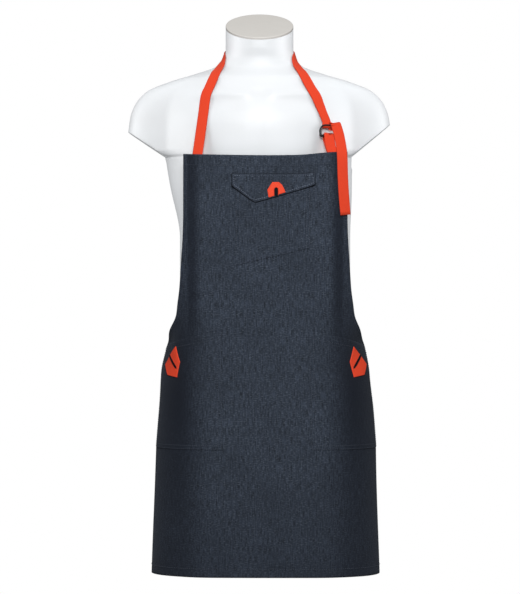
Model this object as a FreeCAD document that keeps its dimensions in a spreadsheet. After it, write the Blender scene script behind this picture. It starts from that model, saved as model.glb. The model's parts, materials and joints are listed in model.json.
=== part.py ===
"""A bib apron with a webbing neck strap, worn by a headless display torso on a stand socket.

Millimetres.  +Z is up, the front faces -Y and +X is the viewer's right.  The origin is on the
axis of the socket that takes the stand pole, where it meets the underside of the torso.
"""
import FreeCAD
import Part
import Sketcher
import math
import os

from FreeCAD import Placement, Rotation, Vector

os.makedirs("parts", exist_ok=True)
doc = FreeCAD.newDocument("BibApronOnTorso")

# ---------------------------------------------------------------- driving dimensions
SIZES = [
    ("bib_top_height", 602), ("waist_height", 205), ("hem_height", -176),
    ("bib_half_width", 153), ("skirt_half_width", 350),
    ("cloth_thickness", 1.4), ("cloth_gap", 0.5),
    ("webbing_width", 20), ("webbing_thickness", 1.5),
    ("form_wall", 4), ("neck_shift", -10.5),
    ("neck_half_width", 64), ("neck_half_depth", 60),
    ("neck_cut_height", 848.5), ("neck_cut_tilt", 26.2), ("neck_cap_thickness", 4),
    ("armpit_height", 604), ("left_armpit_reach", 178), ("left_arm_cut_tilt", 33.3),
    ("right_armpit_reach", 173), ("right_arm_cut_tilt", 39.3),
    ("base_half_width", 165), ("base_half_depth", 105),
    ("base_plate_thickness", 6), ("base_plate_gap", 0.8),
    ("flange_radius", 36), ("flange_thickness", 5),
    ("socket_outer_radius", 17), ("socket_bore_radius", 12.6), ("socket_length", 55),
    ("screw_circle_radius", 27), ("screw_shank_radius", 2), ("screw_head_radius", 4),
    ("screw_head_height", 2.4), ("screw_length", 9),
    ("ring_wire_radius", 1.35), ("ring_half_span", 14.0), ("ring_rise", 20),
    ("ring_corner", 10), ("ring_bar_bend", 2.6), ("ring_spacing", 5.2),
    ("ring_bar_height", 638.2), ("ring_centre", 116),
    ("knot_width", 26), ("knot_depth", 13), ("knot_height", 22), ("knot_round", 5),
    ("tie_end_length", 250), ("short_tie_end_length", 222),
    ("bow_loop_length", 78), ("bow_loop_half_depth", 7),
]
sheet = doc.addObject("Spreadsheet::Sheet", "Sizes")
for row, (alias, value) in enumerate(SIZES, start=1):
    sheet.set("A%d" % row, alias)
    sheet.set("B%d" % row, str(value))
    sheet.setAlias("B%d" % row, alias)
doc.recompute()


def size(alias):
    """A driving dimension, read back from the sheet."""
    return float(getattr(sheet, alias))


def smooth(value):
    """Ease from 0 to 1 with flat ends."""
    value = min(max(value, 0.0), 1.0)
    return value * value * (3.0 - 2.0 * value)


def between(stations, place):
    """Linear interpolation in a list of (place, a, b, ...) rows, clamped at both ends."""
    if place <= stations[0][0]:
        return stations[0][1:]
    for low, high in zip(stations, stations[1:]):
        if place <= high[0]:
            part = (place - low[0]) / (high[0] - low[0])
            return tuple(a + part * (b - a) for a, b in zip(low[1:], high[1:]))
    return stations[-1][1:]


def keep(name, shape):
    """Put a finished shape in the document under its node name."""
    feature = doc.addObject("Part::Feature", name)
    feature.Label = name
    feature.Shape = shape
    feature.Placement = Placement()
    return feature


def loft(wires):
    return Part.makeLoft(wires, True, True)


# ---------------------------------------------------------------- torso form
# height, half width with the arm stubs, half width of the trunk alone, front and back depth
NECK_W = size("neck_half_width")
NECK_D = size("neck_half_depth")
FORM = [
    (0, size("base_half_width"), size("base_half_width"), size("base_half_depth"),
     size("base_half_depth")),
    (40, 166, 166, 102, 108),
    (120, 165, 165, 98, 110),
    (205, 164, 164, 96, 102),
    (300, 163, 163, 98, 96),
    (380, 161, 161, 102, 97),
    (450, 161, 161, 106, 100),
    (541, 171, 171, 111, 108),
    (590, 176, 176, 113, 112),
    (600, 178, 178, 113, 113),
    (606, 218, 178, 113, 113),
    (616, 242, 178, 113, 114),
    (640, 249, 178, 112, 114),
    (660, 247, 178, 110, 114),
    (680, 244, 177, 105, 113),
    (703, 235, 172, 96, 110),
    (727, 213, 158, 84, 103),
    (743, 176, 134, 74, 96),
    (759, 124, 104, 65, 86),
    (774, 84, 80, 59, 74),
    (788, 68, 68, 58, 64),
    (806, NECK_W, NECK_W, NECK_D, NECK_D),
    (890, NECK_W, NECK_W, NECK_D, NECK_D),
]
ARM_HALF_DEPTH = 62
ARM_POWER = 2.6
BLEND_POWER = 4.0


def form_centre(height):
    return size("neck_shift") * smooth((height - 450) / 150.0)


def form_point(height, angle, grow=0.0):
    """Skin of the torso: an oval trunk merged with a flatter, wider oval through the arms."""
    half, trunk, front, back = between(FORM, height)
    shoulder = smooth((height - 520) / 80.0) * smooth((788 - height) / 40.0)
    cosine, sine = math.cos(angle), math.sin(angle)
    across = (half + grow) * math.copysign(abs(cosine) ** (1 - 0.15 * shoulder), cosine)
    near = min(abs(across) / (trunk + grow), 1.0)
    far = min(abs(across) / (half + grow), 1.0)
    chest = ((front if sine > 0 else back) + grow) * math.sqrt(1 - near * near)
    arm = shoulder * (ARM_HALF_DEPTH + grow) * (1 - far ** ARM_POWER) ** (1 / ARM_POWER)
    depth = (chest ** BLEND_POWER + arm ** BLEND_POWER) ** (1 / BLEND_POWER)
    y = -math.copysign(depth, sine)
    return Vector(form_centre(height) + across, y, height)


def form_ring(height, grow):
    count = 40
    points = [form_point(height, 2 * math.pi * (i + 0.5) / count, grow) for i in range(count)]
    curve = Part.BSplineCurve()
    curve.interpolate(points, PeriodicFlag=True)
    return Part.Wire(curve.toShape())


def arm_cutter(side, inward):
    """Block whose top face is the slanted end of an arm stub, moved inward by the wall."""
    name = "left" if side < 0 else "right"
    tilt, reach = size(name + "_arm_cut_tilt"), size(name + "_armpit_reach")
    lean = math.radians(tilt)
    block = Part.makeBox(220, 320, 120, Vector(-8, -160, -120))
    block.rotate(Vector(0, 0, 0), Vector(0, 1, 0), -tilt)
    block.translate(Vector(size("neck_shift") + reach, 0, size("armpit_height")))
    block.translate(Vector(-inward * math.sin(lean), 0, inward * math.cos(lean)))
    if side < 0:
        block = block.mirror(Vector(size("neck_shift"), 0, 0), Vector(1, 0, 0))
    return block


def neck_cutter():
    block = Part.makeBox(300, 400, 120, Vector(-150, -200, 0))
    block.rotate(Vector(0, 0, 0), Vector(1, 0, 0), size("neck_cut_tilt"))
    block.translate(Vector(size("neck_shift"), 0, size("neck_cut_height")))
    return block


def torso_shell():
    wall = size("form_wall")
    outer = loft([form_ring(row[0], 0.0) for row in FORM])
    inner = loft([form_ring(row[0], -wall) for row in [(-5,)] + FORM[1:] + [(900,)]])
    for side in (-1, 1):
        outer = outer.cut(arm_cutter(side, 0.0))
        inner = inner.cut(arm_cutter(side, wall))
    return outer.cut(inner).cut(neck_cutter())


keep("torso_shell", torso_shell())

# ---------------------------------------------------------------- pieces on the torso
def bind(thing, **formulas):
    """Bind properties to the sheet: a bare alias, or a formula with aliases in braces."""
    for prop, formula in formulas.items():
        if "{" not in formula:
            formula = "{" + formula + "}"
        formula = formula.replace("{", "<<Sizes>>.").replace("}", "")
        thing.setExpression(prop.replace("__", "."), formula)


def add(kind, name, **formulas):
    thing = doc.addObject(kind, name)
    thing.Label = name
    bind(thing, **formulas)
    return thing


# Flat cap on the slanted end of the neck: an ellipse of the neck's own outline.
cap_outline = add("Part::Ellipse", "neck_outline",
                  MajorRadius="{neck_half_depth} / cos({neck_cut_tilt} * 1 deg)",
                  MinorRadius="neck_half_width")
neck_cap = add("Part::Extrusion", "neck_cap", LengthFwd="neck_cap_thickness")
neck_cap.Base = cap_outline
neck_cap.Dir = Vector(0, 0, 1)
neck_cap.Solid = True
neck_cap.Placement = Placement(
    Vector(size("neck_shift"), 0, size("neck_cut_height")),
    Rotation(Vector(1, 0, 0), size("neck_cut_tilt")) * Rotation(Vector(0, 0, 1), 90))

# Plate that closes the underside, drilled for the four socket screws.
plate_outline = add("Part::Ellipse", "plate_outline",
                    MajorRadius="{base_half_width} - {form_wall} - {base_plate_gap}",
                    MinorRadius="{base_half_depth} - {form_wall} - {base_plate_gap}")
plate_blank = add("Part::Extrusion", "plate_blank", LengthFwd="base_plate_thickness")
plate_blank.Base = plate_outline
plate_blank.Dir = Vector(0, 0, 1)
plate_blank.Solid = True
plate_hole_list = []
for index in range(4):
    hole = add("Part::Cylinder", "plate_hole_%d" % index,
               Radius="screw_shank_radius", Height="{base_plate_thickness} + 2",
               Placement__Base__x="{screw_circle_radius} * cos(%d deg)" % (45 + 90 * index),
               Placement__Base__y="{screw_circle_radius} * sin(%d deg)" % (45 + 90 * index))
    hole.Placement.Base.z = -1
    plate_hole_list.append(hole)
plate_holes = doc.addObject("Part::Compound", "plate_holes")
plate_holes.Links = plate_hole_list
base_plate = doc.addObject("Part::Cut", "base_plate")
base_plate.Base = plate_blank
base_plate.Tool = plate_holes


def plane_of(body, role):
    return next(item for item in body.Origin.OriginFeatures if item.Role == role)


def sketch_on(body, name, role):
    sketch = body.newObject("Sketcher::SketchObject", name)
    sketch.AttachmentSupport = [(plane_of(body, role), "")]
    sketch.MapMode = "FlatFace"
    return sketch


def circle_in(sketch, alias, x_formula=None, y_formula=None):
    """A circle whose radius follows the sheet, on the axis or at a bound centre."""
    index = sketch.addGeometry(Part.Circle(Vector(0, 0, 0), Vector(0, 0, 1), size(alias)))
    if x_formula is None:
        sketch.addConstraint(Sketcher.Constraint("Coincident", index, 3, -1, 1))
    else:
        for kind, formula in (("DistanceX", x_formula), ("DistanceY", y_formula)):
            number = sketch.addConstraint(Sketcher.Constraint(kind, -1, 1, index, 3, 1.0))
            bind(sketch, **{"Constraints[%d]" % number: formula})
    number = sketch.addConstraint(Sketcher.Constraint("Radius", index, size(alias)))
    bind(sketch, **{"Constraints[%d]" % number: alias})


# Stand socket: a round flange with a tube below it, bored for the pole, with screw holes.
socket = doc.addObject("PartDesign::Body", "stand_socket")
socket.Label = "stand_socket"
flange_sketch = sketch_on(socket, "FlangeSketch", "XY_Plane")
circle_in(flange_sketch, "flange_radius")
flange = socket.newObject("PartDesign::Pad", "Flange")
flange.Profile = flange_sketch
flange.Reversed = True
bind(flange, Length="flange_thickness")
tube_sketch = sketch_on(socket, "TubeSketch", "XY_Plane")
circle_in(tube_sketch, "socket_outer_radius")
tube = socket.newObject("PartDesign::Pad", "Tube")
tube.Profile = tube_sketch
tube.Reversed = True
bind(tube, Length="socket_length")
bore_sketch = sketch_on(socket, "BoreSketch", "XY_Plane")
circle_in(bore_sketch, "socket_bore_radius")
bore = socket.newObject("PartDesign::Pocket", "Bore")
bore.Profile = bore_sketch
bore.Type = "ThroughAll"
hole_sketch = sketch_on(socket, "ScrewHoleSketch", "XY_Plane")
circle_in(hole_sketch, "screw_shank_radius",
          "{screw_circle_radius} * cos(45 deg)", "{screw_circle_radius} * sin(45 deg)")
screw_hole = socket.newObject("PartDesign::Pocket", "ScrewHole")
screw_hole.Profile = hole_sketch
screw_hole.Type = "ThroughAll"
screw_holes = socket.newObject("PartDesign::PolarPattern", "ScrewHoles")
screw_holes.Originals = [screw_hole]
screw_holes.Axis = (next(item for item in socket.Origin.OriginFeatures if item.Role == "Z_Axis"), [""])
screw_holes.Angle = 360
screw_holes.Occurrences = 4
socket.Tip = screw_holes
doc.recompute()

# Four pan-head screws that hold the socket to the plate.
screw_list = []
for index in range(4):
    turn = 45 + 90 * index
    spot = {"Placement__Base__x": "{screw_circle_radius} * cos(%d deg)" % turn,
            "Placement__Base__y": "{screw_circle_radius} * sin(%d deg)" % turn}
    head = add("Part::Cylinder", "screw_head_%d" % index, Radius="screw_head_radius",
               Height="screw_head_height",
               Placement__Base__z="-{flange_thickness} - {screw_head_height}", **spot)
    shank = add("Part::Cylinder", "screw_shank_%d" % index, Radius="{screw_shank_radius} - 0.05",
                Height="{screw_length}", Placement__Base__z="-{flange_thickness}", **spot)
    screw = doc.addObject("Part::Fuse", "screw_%d" % index)
    screw.Base = head
    screw.Tool = shank
    screw_list.append(screw)
socket_screws = doc.addObject("Part::Compound", "socket_screws")
socket_screws.Links = screw_list

# ---------------------------------------------------------------- the apron's cloth
# height, turn of the cloth round the body in degrees, width from the middle where the turn
# starts and where it ends, and how far forward the middle of the front stands
DRAPE = [
    (size("hem_height"), 130, 70, 380, 130),
    (60, 130, 68, 367, 127),
    (size("waist_height"), 130, 50, 360, 124),
    (260, 125, 45, 335, 123.5),
    (300, 115, 40, 350, 123),
    (370, 100, 30, 400, 123),
    (size("bib_top_height"), 90, 20, 420, 122),
]
STEP = 5.0


def armhole(height):
    """Half width of the cloth: the bib, then a curve that sweeps out to the waist corners."""
    low, top = size("waist_height"), size("bib_top_height")
    if height <= low:
        return size("skirt_half_width")
    drop = (top - height) / (top - low)
    return size("bib_half_width") + (size("skirt_half_width") - size("bib_half_width")) * drop ** 7


def cloth_point(across, height, lift=0.0):
    """Point on the apron, across = distance along the cloth from its middle, lift = outward."""
    turn, start, end, front = between(DRAPE, height)
    x, y, angle, gone = 0.0, -front, 0.0, 0.0
    total = abs(across)
    while gone < total - 1e-9:
        step = min(STEP, total - gone)
        angle = math.radians(turn) * smooth((gone + step / 2.0 - start) / (end - start))
        x += step * math.cos(angle)
        y += step * math.sin(angle)
        gone += step
    angle = math.radians(turn) * smooth((total - start) / (end - start))
    x += lift * math.sin(angle)
    y -= lift * math.cos(angle)
    return Vector(math.copysign(x, across), y, height)


def curve_edge(points):
    curve = Part.BSplineCurve()
    curve.interpolate(points)
    return curve.toShape()


def cloth_band(across_low, across_high, height_low, height_high, lift, thick, count=24):
    """Closed C-shaped section of cloth; the two heights are those of its two ends."""
    inner, outer = [], []
    for i in range(count + 1):
        part = i / float(count)
        across = across_low + part * (across_high - across_low)
        height = height_low + part * (height_high - height_low)
        inner.append(cloth_point(across, height, lift))
        outer.append(cloth_point(across, height, lift + thick))
    edges = [curve_edge(inner), Part.makeLine(inner[-1], outer[-1]),
             curve_edge(outer[::-1]), Part.makeLine(outer[0], inner[0])]
    return Part.Wire(edges)


def panel():
    """The one-piece apron panel, from the hem to the top of the bib."""
    low, waist, top = size("hem_height"), size("waist_height"), size("bib_top_height")
    levels = [low, -118, -60, 0, 60, 95, 130, 170, waist, waist + 6, waist + 14, waist + 24,
              waist + 38, waist + 55, waist + 75, waist + 95, waist + 130, waist + 165,
              waist + 220, waist + 275, waist + 335, top]
    thick = size("cloth_thickness")
    return loft([cloth_band(-armhole(z), armhole(z), z, z, -thick / 2, thick) for z in levels])


def sewn_piece(corners, layer, ply=1.0, step=20.0):
    """A piece sewn on the panel: corner rows of (height, left end, right end), lowest first."""
    thick = size("cloth_thickness")
    lift = thick / 2 + size("cloth_gap") + layer * (thick + size("cloth_gap"))
    rows = [corners[0]]
    for low, high in zip(corners, corners[1:]):
        reach = max(abs(b - a) for a, b in zip(low, high))
        pieces = max(1, int(math.ceil(reach / step)))
        for i in range(1, pieces + 1):
            part = i / float(pieces)
            rows.append(tuple(a + part * (b - a) for a, b in zip(low, high)))
    return loft([cloth_band(left, right, height, height, lift, thick * ply, 10)
                 for height, left, right in rows])


def mirrored(corners):
    return [(height, -right, -left) for height, left, right in corners]


# Corner rows of the sewn pieces: height, left end and right end along the cloth.
CHEST_POCKET = [(397, -55, -54), (429, -55, 83), (556, -55, 83)]
CHEST_FLAP = [(515, -19, -17), (520, -27.5, -0.4), (544, -60, 84), (546, -60, 91),
              (567, -60, 91)]
FLAP_PATCH = [(523.5, 4.5, 6), (532.8, 4.5, 37.5), (540.5, 4.5, 37.5), (551, 12, 30)]
HIP_POCKET = [(58, 80, 238), (246, 80, 238), (277, 80, 82)]
HIP_PATCH = [(190.5, 167.5, 168.5), (194, 167, 198), (213, 161.7, 212), (219, 160, 206),
             (231, 165.1, 194), (247, 171.5, 172.5)]

keep("apron_panel", panel())
keep("chest_pocket", sewn_piece(CHEST_POCKET, 0))
keep("chest_pocket_flap", sewn_piece(CHEST_FLAP, 1, 1.4))
keep("flap_patch", sewn_piece(FLAP_PATCH, 2.4))
keep("hip_pocket_right", sewn_piece(HIP_POCKET, 0))
keep("hip_pocket_left", sewn_piece(mirrored(HIP_POCKET), 0))
keep("hip_patch_right", sewn_piece(HIP_PATCH, 1))
keep("hip_patch_left", sewn_piece(mirrored(HIP_PATCH), 1))

# ---------------------------------------------------------------- webbing and rings
WEB = size("webbing_thickness")
WEB_GAP = 0.3


def ribbon(frames, width=None):
    """Flat webbing through (centre, outward normal) frames; its width runs across the path."""
    width = size("webbing_width") if width is None else width
    wires = []
    for i, (centre, normal) in enumerate(frames):
        before = frames[max(i - 1, 0)][0]
        after = frames[min(i + 1, len(frames) - 1)][0]
        along = (after - before).normalize()
        across = normal.cross(along).normalize()
        out = along.cross(across).normalize()
        half, deep = across * (width / 2.0), out * (WEB / 2.0)
        corners = [centre - half - deep, centre + half - deep,
                   centre + half + deep, centre - half + deep]
        wires.append(Part.makePolygon(corners + corners[:1]))
    return loft(wires)


def on_form(height, degrees, lift):
    """Frame on the torso's skin, lifted along its outward normal."""
    angle, turn = math.radians(degrees), 0.06
    around = form_point(height, angle + turn) - form_point(height, angle - turn)
    upward = form_point(height + 10, angle) - form_point(height - 10, angle)
    normal = upward.cross(around).normalize()
    point = form_point(height, angle)
    if normal.dot(Vector(point.x - form_centre(height), point.y, 0)) < 0:
        normal = normal * -1
    return point + normal * lift, normal


# Where the strap lies on the torso: height and angle round it, from the viewer's left
# collarbone (front is 90 degrees, left is 180) round the nape to the right collarbone.
STRAP_ROUTE = [
    (711, 111.8), (727, 112), (743, 115.5), (757, 125), (768, 138), (778, 154), (786, 168),
    (793, 185), (799, 204), (804, 225), (807, 247), (808, 270), (807, 293), (804, 315),
    (799, 336), (793, 355), (786, 377), (778, 391), (768, 404.5), (757, 416), (743, 424.5),
    (727, 427.5), (711, 426.8),
]
STRAP_LIFT = 4.1

# The rings stand in a plane that leans back with the strap and is turned with the side of the
# bib: ASIDE runs along the bars, LEAN_UP up the lean and LEAN_OUT out of the plane.
LEAN, SIDE_TURN = math.radians(14.4), math.radians(14.0)
ASIDE = Vector(math.cos(SIDE_TURN), math.sin(SIDE_TURN), 0)
LEAN_UP = Vector(-math.sin(LEAN) * math.sin(SIDE_TURN),
                 math.sin(LEAN) * math.cos(SIDE_TURN), math.cos(LEAN))
LEAN_OUT = LEAN_UP.cross(ASIDE) * -1
ANCHOR = Vector(size("ring_centre") + 3.3, -111.5, size("bib_top_height"))
WIRE = size("ring_wire_radius")
BAR_UP = (size("ring_bar_height") - ANCHOR.z) / math.cos(LEAN)
FRONT_RING = -(WEB / 2 + WEB_GAP + WIRE)
BACK_RING = FRONT_RING - size("ring_spacing")


def leaning(aside, up, out):
    """Point by its distances from the anchor along, up and out of the plane of the rings."""
    return ANCHOR + ASIDE * aside + LEAN_UP * up + LEAN_OUT * out


def back_of_bib(across, height, plies=1):
    """Middle of a webbing sewn on the back of the bib."""
    lift = size("cloth_thickness") / 2 + size("cloth_gap") + WEB / 2
    lift += (plies - 1) * (WEB + WEB_GAP)
    return cloth_point(across, height, -lift)


def strap_end(across, plies, *heights):
    """Frames of a webbing end that runs down the back of the bib."""
    frames = []
    for height in heights:
        inside = back_of_bib(across, height, plies)
        frames.append((inside, (cloth_point(across, height) - inside).normalize()))
    return frames


TURN_ASIDE, TAIL_ASIDE, LOOP_ASIDE = -1.0, 15.5, 1.0
TURN_LOW = BAR_UP + 11.5
TURN_TOP = BAR_UP + size("ring_rise") + 1.5
LOOP_ACROSS = 126.5
BETWEEN = (FRONT_RING + BACK_RING) / 2
OVER_BAR = WIRE + WEB_GAP + WEB / 2 + 0.8
BEHIND = BACK_RING - WIRE - WEB_GAP - WEB / 2
BEFORE = WEB + 2 * WEB_GAP
TAIL_LIFT = size("cloth_thickness") / 2 + WEB / 2 + 1.6


def arc_frames(x_first, x_last, up, out_first, out_last, first, last, count=6):
    """Frames round a half or quarter turn over the rings, drifting sideways."""
    radius = abs(out_last - out_first) / 2.0
    middle = (out_first + out_last) / 2.0
    frames = []
    for i in range(count + 1):
        part = i / float(count)
        angle = math.radians(first + part * (last - first))
        outward = LEAN_OUT * math.cos(angle) + LEAN_UP * math.sin(angle)
        centre = leaning(x_first + part * (x_last - x_first), up, middle) + outward * radius
        frames.append((centre, outward))
    return frames


def neck_strap():
    """From the left of the bib, round the nape, down between the rings and up behind them."""
    frames = strap_end(-126, 1, 582, 600)
    frames += [on_form(height, degrees, STRAP_LIFT) for height, degrees in STRAP_ROUTE]
    frames += [(leaning(TURN_ASIDE, TURN_TOP + 8, BETWEEN), LEAN_OUT),
               (leaning(TURN_ASIDE, TURN_LOW + 2, BETWEEN), LEAN_OUT)]
    turn = arc_frames(TURN_ASIDE, TURN_ASIDE, TURN_LOW, BETWEEN, BEHIND, 0, -180)
    frames += [(centre, outward) for centre, outward in turn]
    frames += [(leaning(TURN_ASIDE + 8, TURN_LOW + 6, BEHIND), -LEAN_OUT),
               (leaning(TAIL_ASIDE - 1, TURN_TOP - 1, BEHIND), -LEAN_OUT)]
    frames += arc_frames(TAIL_ASIDE - 1, TAIL_ASIDE, TURN_TOP, BEFORE, BEHIND, 180, 92, 4)
    return ribbon(frames)


def strap_tail():
    """Over the top of the rings and down in front of them to the square-cut free end."""
    frames = arc_frames(TAIL_ASIDE, TAIL_ASIDE + 1, TURN_TOP, BEFORE, BEHIND, 86, 0, 5)
    frames += [(leaning(TAIL_ASIDE + 4, 30, BEFORE + 0.8), LEAN_OUT),
               (leaning(TAIL_ASIDE + 6, 12, BEFORE + 2), LEAN_OUT)]
    for across, height in ((143.5, 592), (145.2, 560), (147.2, 530), (150.8, 490)):
        on_bib = cloth_point(across, height, TAIL_LIFT)
        frames.append((on_bib, (on_bib - cloth_point(across, height)).normalize()))
    return ribbon(frames)


def ring_loop():
    """The short webbing that holds the two bars, doubled over them and sewn behind the bib."""
    front_leg = strap_end(LOOP_ACROSS, 1, 582, 598)
    front_leg += [(leaning(LOOP_ASIDE + 1.5, 16, 0), LEAN_OUT),
                  (leaning(LOOP_ASIDE, BAR_UP - 2, 0), LEAN_OUT)]
    flatten = abs(BEHIND) / 2 - OVER_BAR
    over = []
    turn = arc_frames(LOOP_ASIDE, LOOP_ASIDE, BAR_UP, 0, BEHIND, 0, 180, 12)
    for i, (centre, normal) in enumerate(turn):
        over.append((centre - LEAN_UP * flatten * math.sin(math.pi * i / 12.0), normal))
    back_leg = [(leaning(LOOP_ASIDE, BAR_UP - 4, BEHIND), -LEAN_OUT),
                (leaning(LOOP_ASIDE + 2, 14, BEHIND / 2), -LEAN_OUT)]
    back_leg += [(centre, normal * -1)
                 for centre, normal in strap_end(LOOP_ACROSS, 2, 596, 582)]
    return ribbon(front_leg + over + back_leg)


def d_ring(out):
    """A straight bar and a rounded arch, bent from one round wire."""
    half, rise = size("ring_half_span"), size("ring_rise")
    corner, small = size("ring_corner"), size("ring_bar_bend")

    def at(aside, up):
        return leaning(aside, BAR_UP + up, out)

    def bend(x, up, radius, first, last):
        points = []
        for degrees in (first, (first + last) / 2.0, last):
            angle = math.radians(degrees)
            points.append(at(x + radius * math.cos(angle), up + radius * math.sin(angle)))
        return Part.Arc(*points).toShape()

    edges = [
        Part.makeLine(at(-half + small, 0), at(half - small, 0)),
        bend(half - small, small, small, -90, 0),
        Part.makeLine(at(half, small), at(half, rise - corner)),
        bend(half - corner, rise - corner, corner, 0, 90),
        Part.makeLine(at(half - corner, rise), at(corner - half, rise)),
        bend(corner - half, rise - corner, corner, 90, 180),
        Part.makeLine(at(-half, rise - corner), at(-half, small)),
        bend(small - half, small, small, 180, 270),
    ]
    path = Part.Wire(edges)
    start = at(-half + small, 0)
    profile = Part.Wire(Part.makeCircle(WIRE, start, ASIDE))
    return path.makePipeShell([profile], True, True)


keep("neck_strap", neck_strap())
keep("strap_tail", strap_tail())
keep("ring_loop", ring_loop())
keep("ring_front", d_ring(FRONT_RING))
keep("ring_back", d_ring(BACK_RING))

# ---------------------------------------------------------------- waist ties at the back
TIE_HEIGHT = size("waist_height") - 12
KNOT_Y = 117


def waist_tie(side):
    """From inside the panel's waist corner, round the back of the torso to the knot."""
    last = size("skirt_half_width")
    frames = []
    for across in (last - 30, last - 15, last - 2):
        inside = back_of_bib(side * across, TIE_HEIGHT)
        frames.append((inside, (cloth_point(side * across, TIE_HEIGHT) - inside).normalize()))
    for degrees, lift in ((-38, 9), (-50, 6), (-62, 5), (-74, 6)):
        turn = degrees if side > 0 else 180 - degrees
        frames.append(on_form(TIE_HEIGHT, turn, lift))
    edge = Vector(side * (size("knot_width") / 2 + WEB_GAP), KNOT_Y - 2, TIE_HEIGHT)
    frames.append((edge, Vector(0, 1, 0)))
    return ribbon(frames)


def bow_loop(side):
    """A loop of webbing that stands out of the knot and droops, flat to the back."""
    droop = math.radians(26)
    out = Vector(side * math.cos(droop), 0, -math.sin(droop))
    start = Vector(side * (size("knot_width") / 2 + 4.5), KNOT_Y + 2, TIE_HEIGHT + 2)
    reach, half = size("bow_loop_length"), size("bow_loop_half_depth")
    frames = []
    for i in range(21):
        turn = 2 * math.pi * (0.04 + 0.92 * i / 20.0)
        along = reach * (1 - math.cos(turn)) / 2.0
        deep = half * math.sin(turn) * (0.35 + 0.65 * along / reach)
        slope = out * (reach * math.sin(turn) / 2.0) + Vector(0, half * math.cos(turn), 0)
        normal = slope.cross(Vector(out.z, 0, -out.x)).normalize()
        frames.append((start + out * along + Vector(0, 1, 0) * deep, normal))
    return ribbon(frames)


def tie_end(side):
    """A free end that hangs from under the knot."""
    top = TIE_HEIGHT - size("knot_height") / 2 - 1.2
    y = KNOT_Y + (2.0 if side > 0 else -0.6)
    length = size("tie_end_length" if side > 0 else "short_tie_end_length")
    frames = []
    for i in range(9):
        part = i / 8.0
        x = side * (4.0 + 9.0 * part + 5.0 * part * part)
        frames.append((Vector(x, y, top - length * part), Vector(0, 1, 0)))
    return ribbon(frames)


knot_block = add("Part::Box", "knot_block", Length="knot_width", Width="knot_depth",
                 Height="knot_height")
knot_block.Placement.Base = Vector(-size("knot_width") / 2, KNOT_Y - size("knot_depth") / 2,
                                   TIE_HEIGHT - size("knot_height") / 2)
doc.recompute()
waist_knot = doc.addObject("Part::Fillet", "waist_knot")
waist_knot.Base = knot_block
waist_knot.Edges = [(number + 1, size("knot_round"), size("knot_round")) for number in range(12)]

for side, name in ((-1, "left"), (1, "right")):
    keep("waist_tie_" + name, waist_tie(side))
    keep("bow_loop_" + name, bow_loop(side))
    keep("tie_end_" + name, tie_end(side))

# ---------------------------------------------------------------- check and write
NODES = [
    "torso_shell", "neck_cap", "base_plate", "stand_socket", "socket_screws",
    "apron_panel", "chest_pocket", "chest_pocket_flap", "flap_patch",
    "hip_pocket_left", "hip_pocket_right", "hip_patch_left", "hip_patch_right",
    "neck_strap", "strap_tail", "ring_loop", "ring_front", "ring_back",
    "waist_tie_left", "waist_tie_right", "waist_knot", "bow_loop_left", "bow_loop_right",
    "tie_end_left", "tie_end_right",
]
doc.recompute()
for item in doc.Objects:
    if "Invalid" in item.State or "Error" in item.State:
        raise RuntimeError("%s did not compute: %s" % (item.Label, item.State))
for name in NODES:
    item = doc.getObjectsByLabel(name)[0]
    if item.Shape.isNull() or not item.Shape.isValid():
        raise RuntimeError("%s has no valid shape" % name)
    print("%-20s %9.1f mm3, %d solid(s)" % (name, item.Shape.Volume, len(item.Shape.Solids)))
for name in NODES:
    doc.getObjectsByLabel(name)[0].Shape.exportStep("parts/%s.step" % name)
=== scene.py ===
"""Bib apron of dark twill denim with orange webbing, worn by a white display torso.

Shapes are worked out in millimetres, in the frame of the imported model: +Z up, front to -Y.
"""
import json
import math

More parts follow.
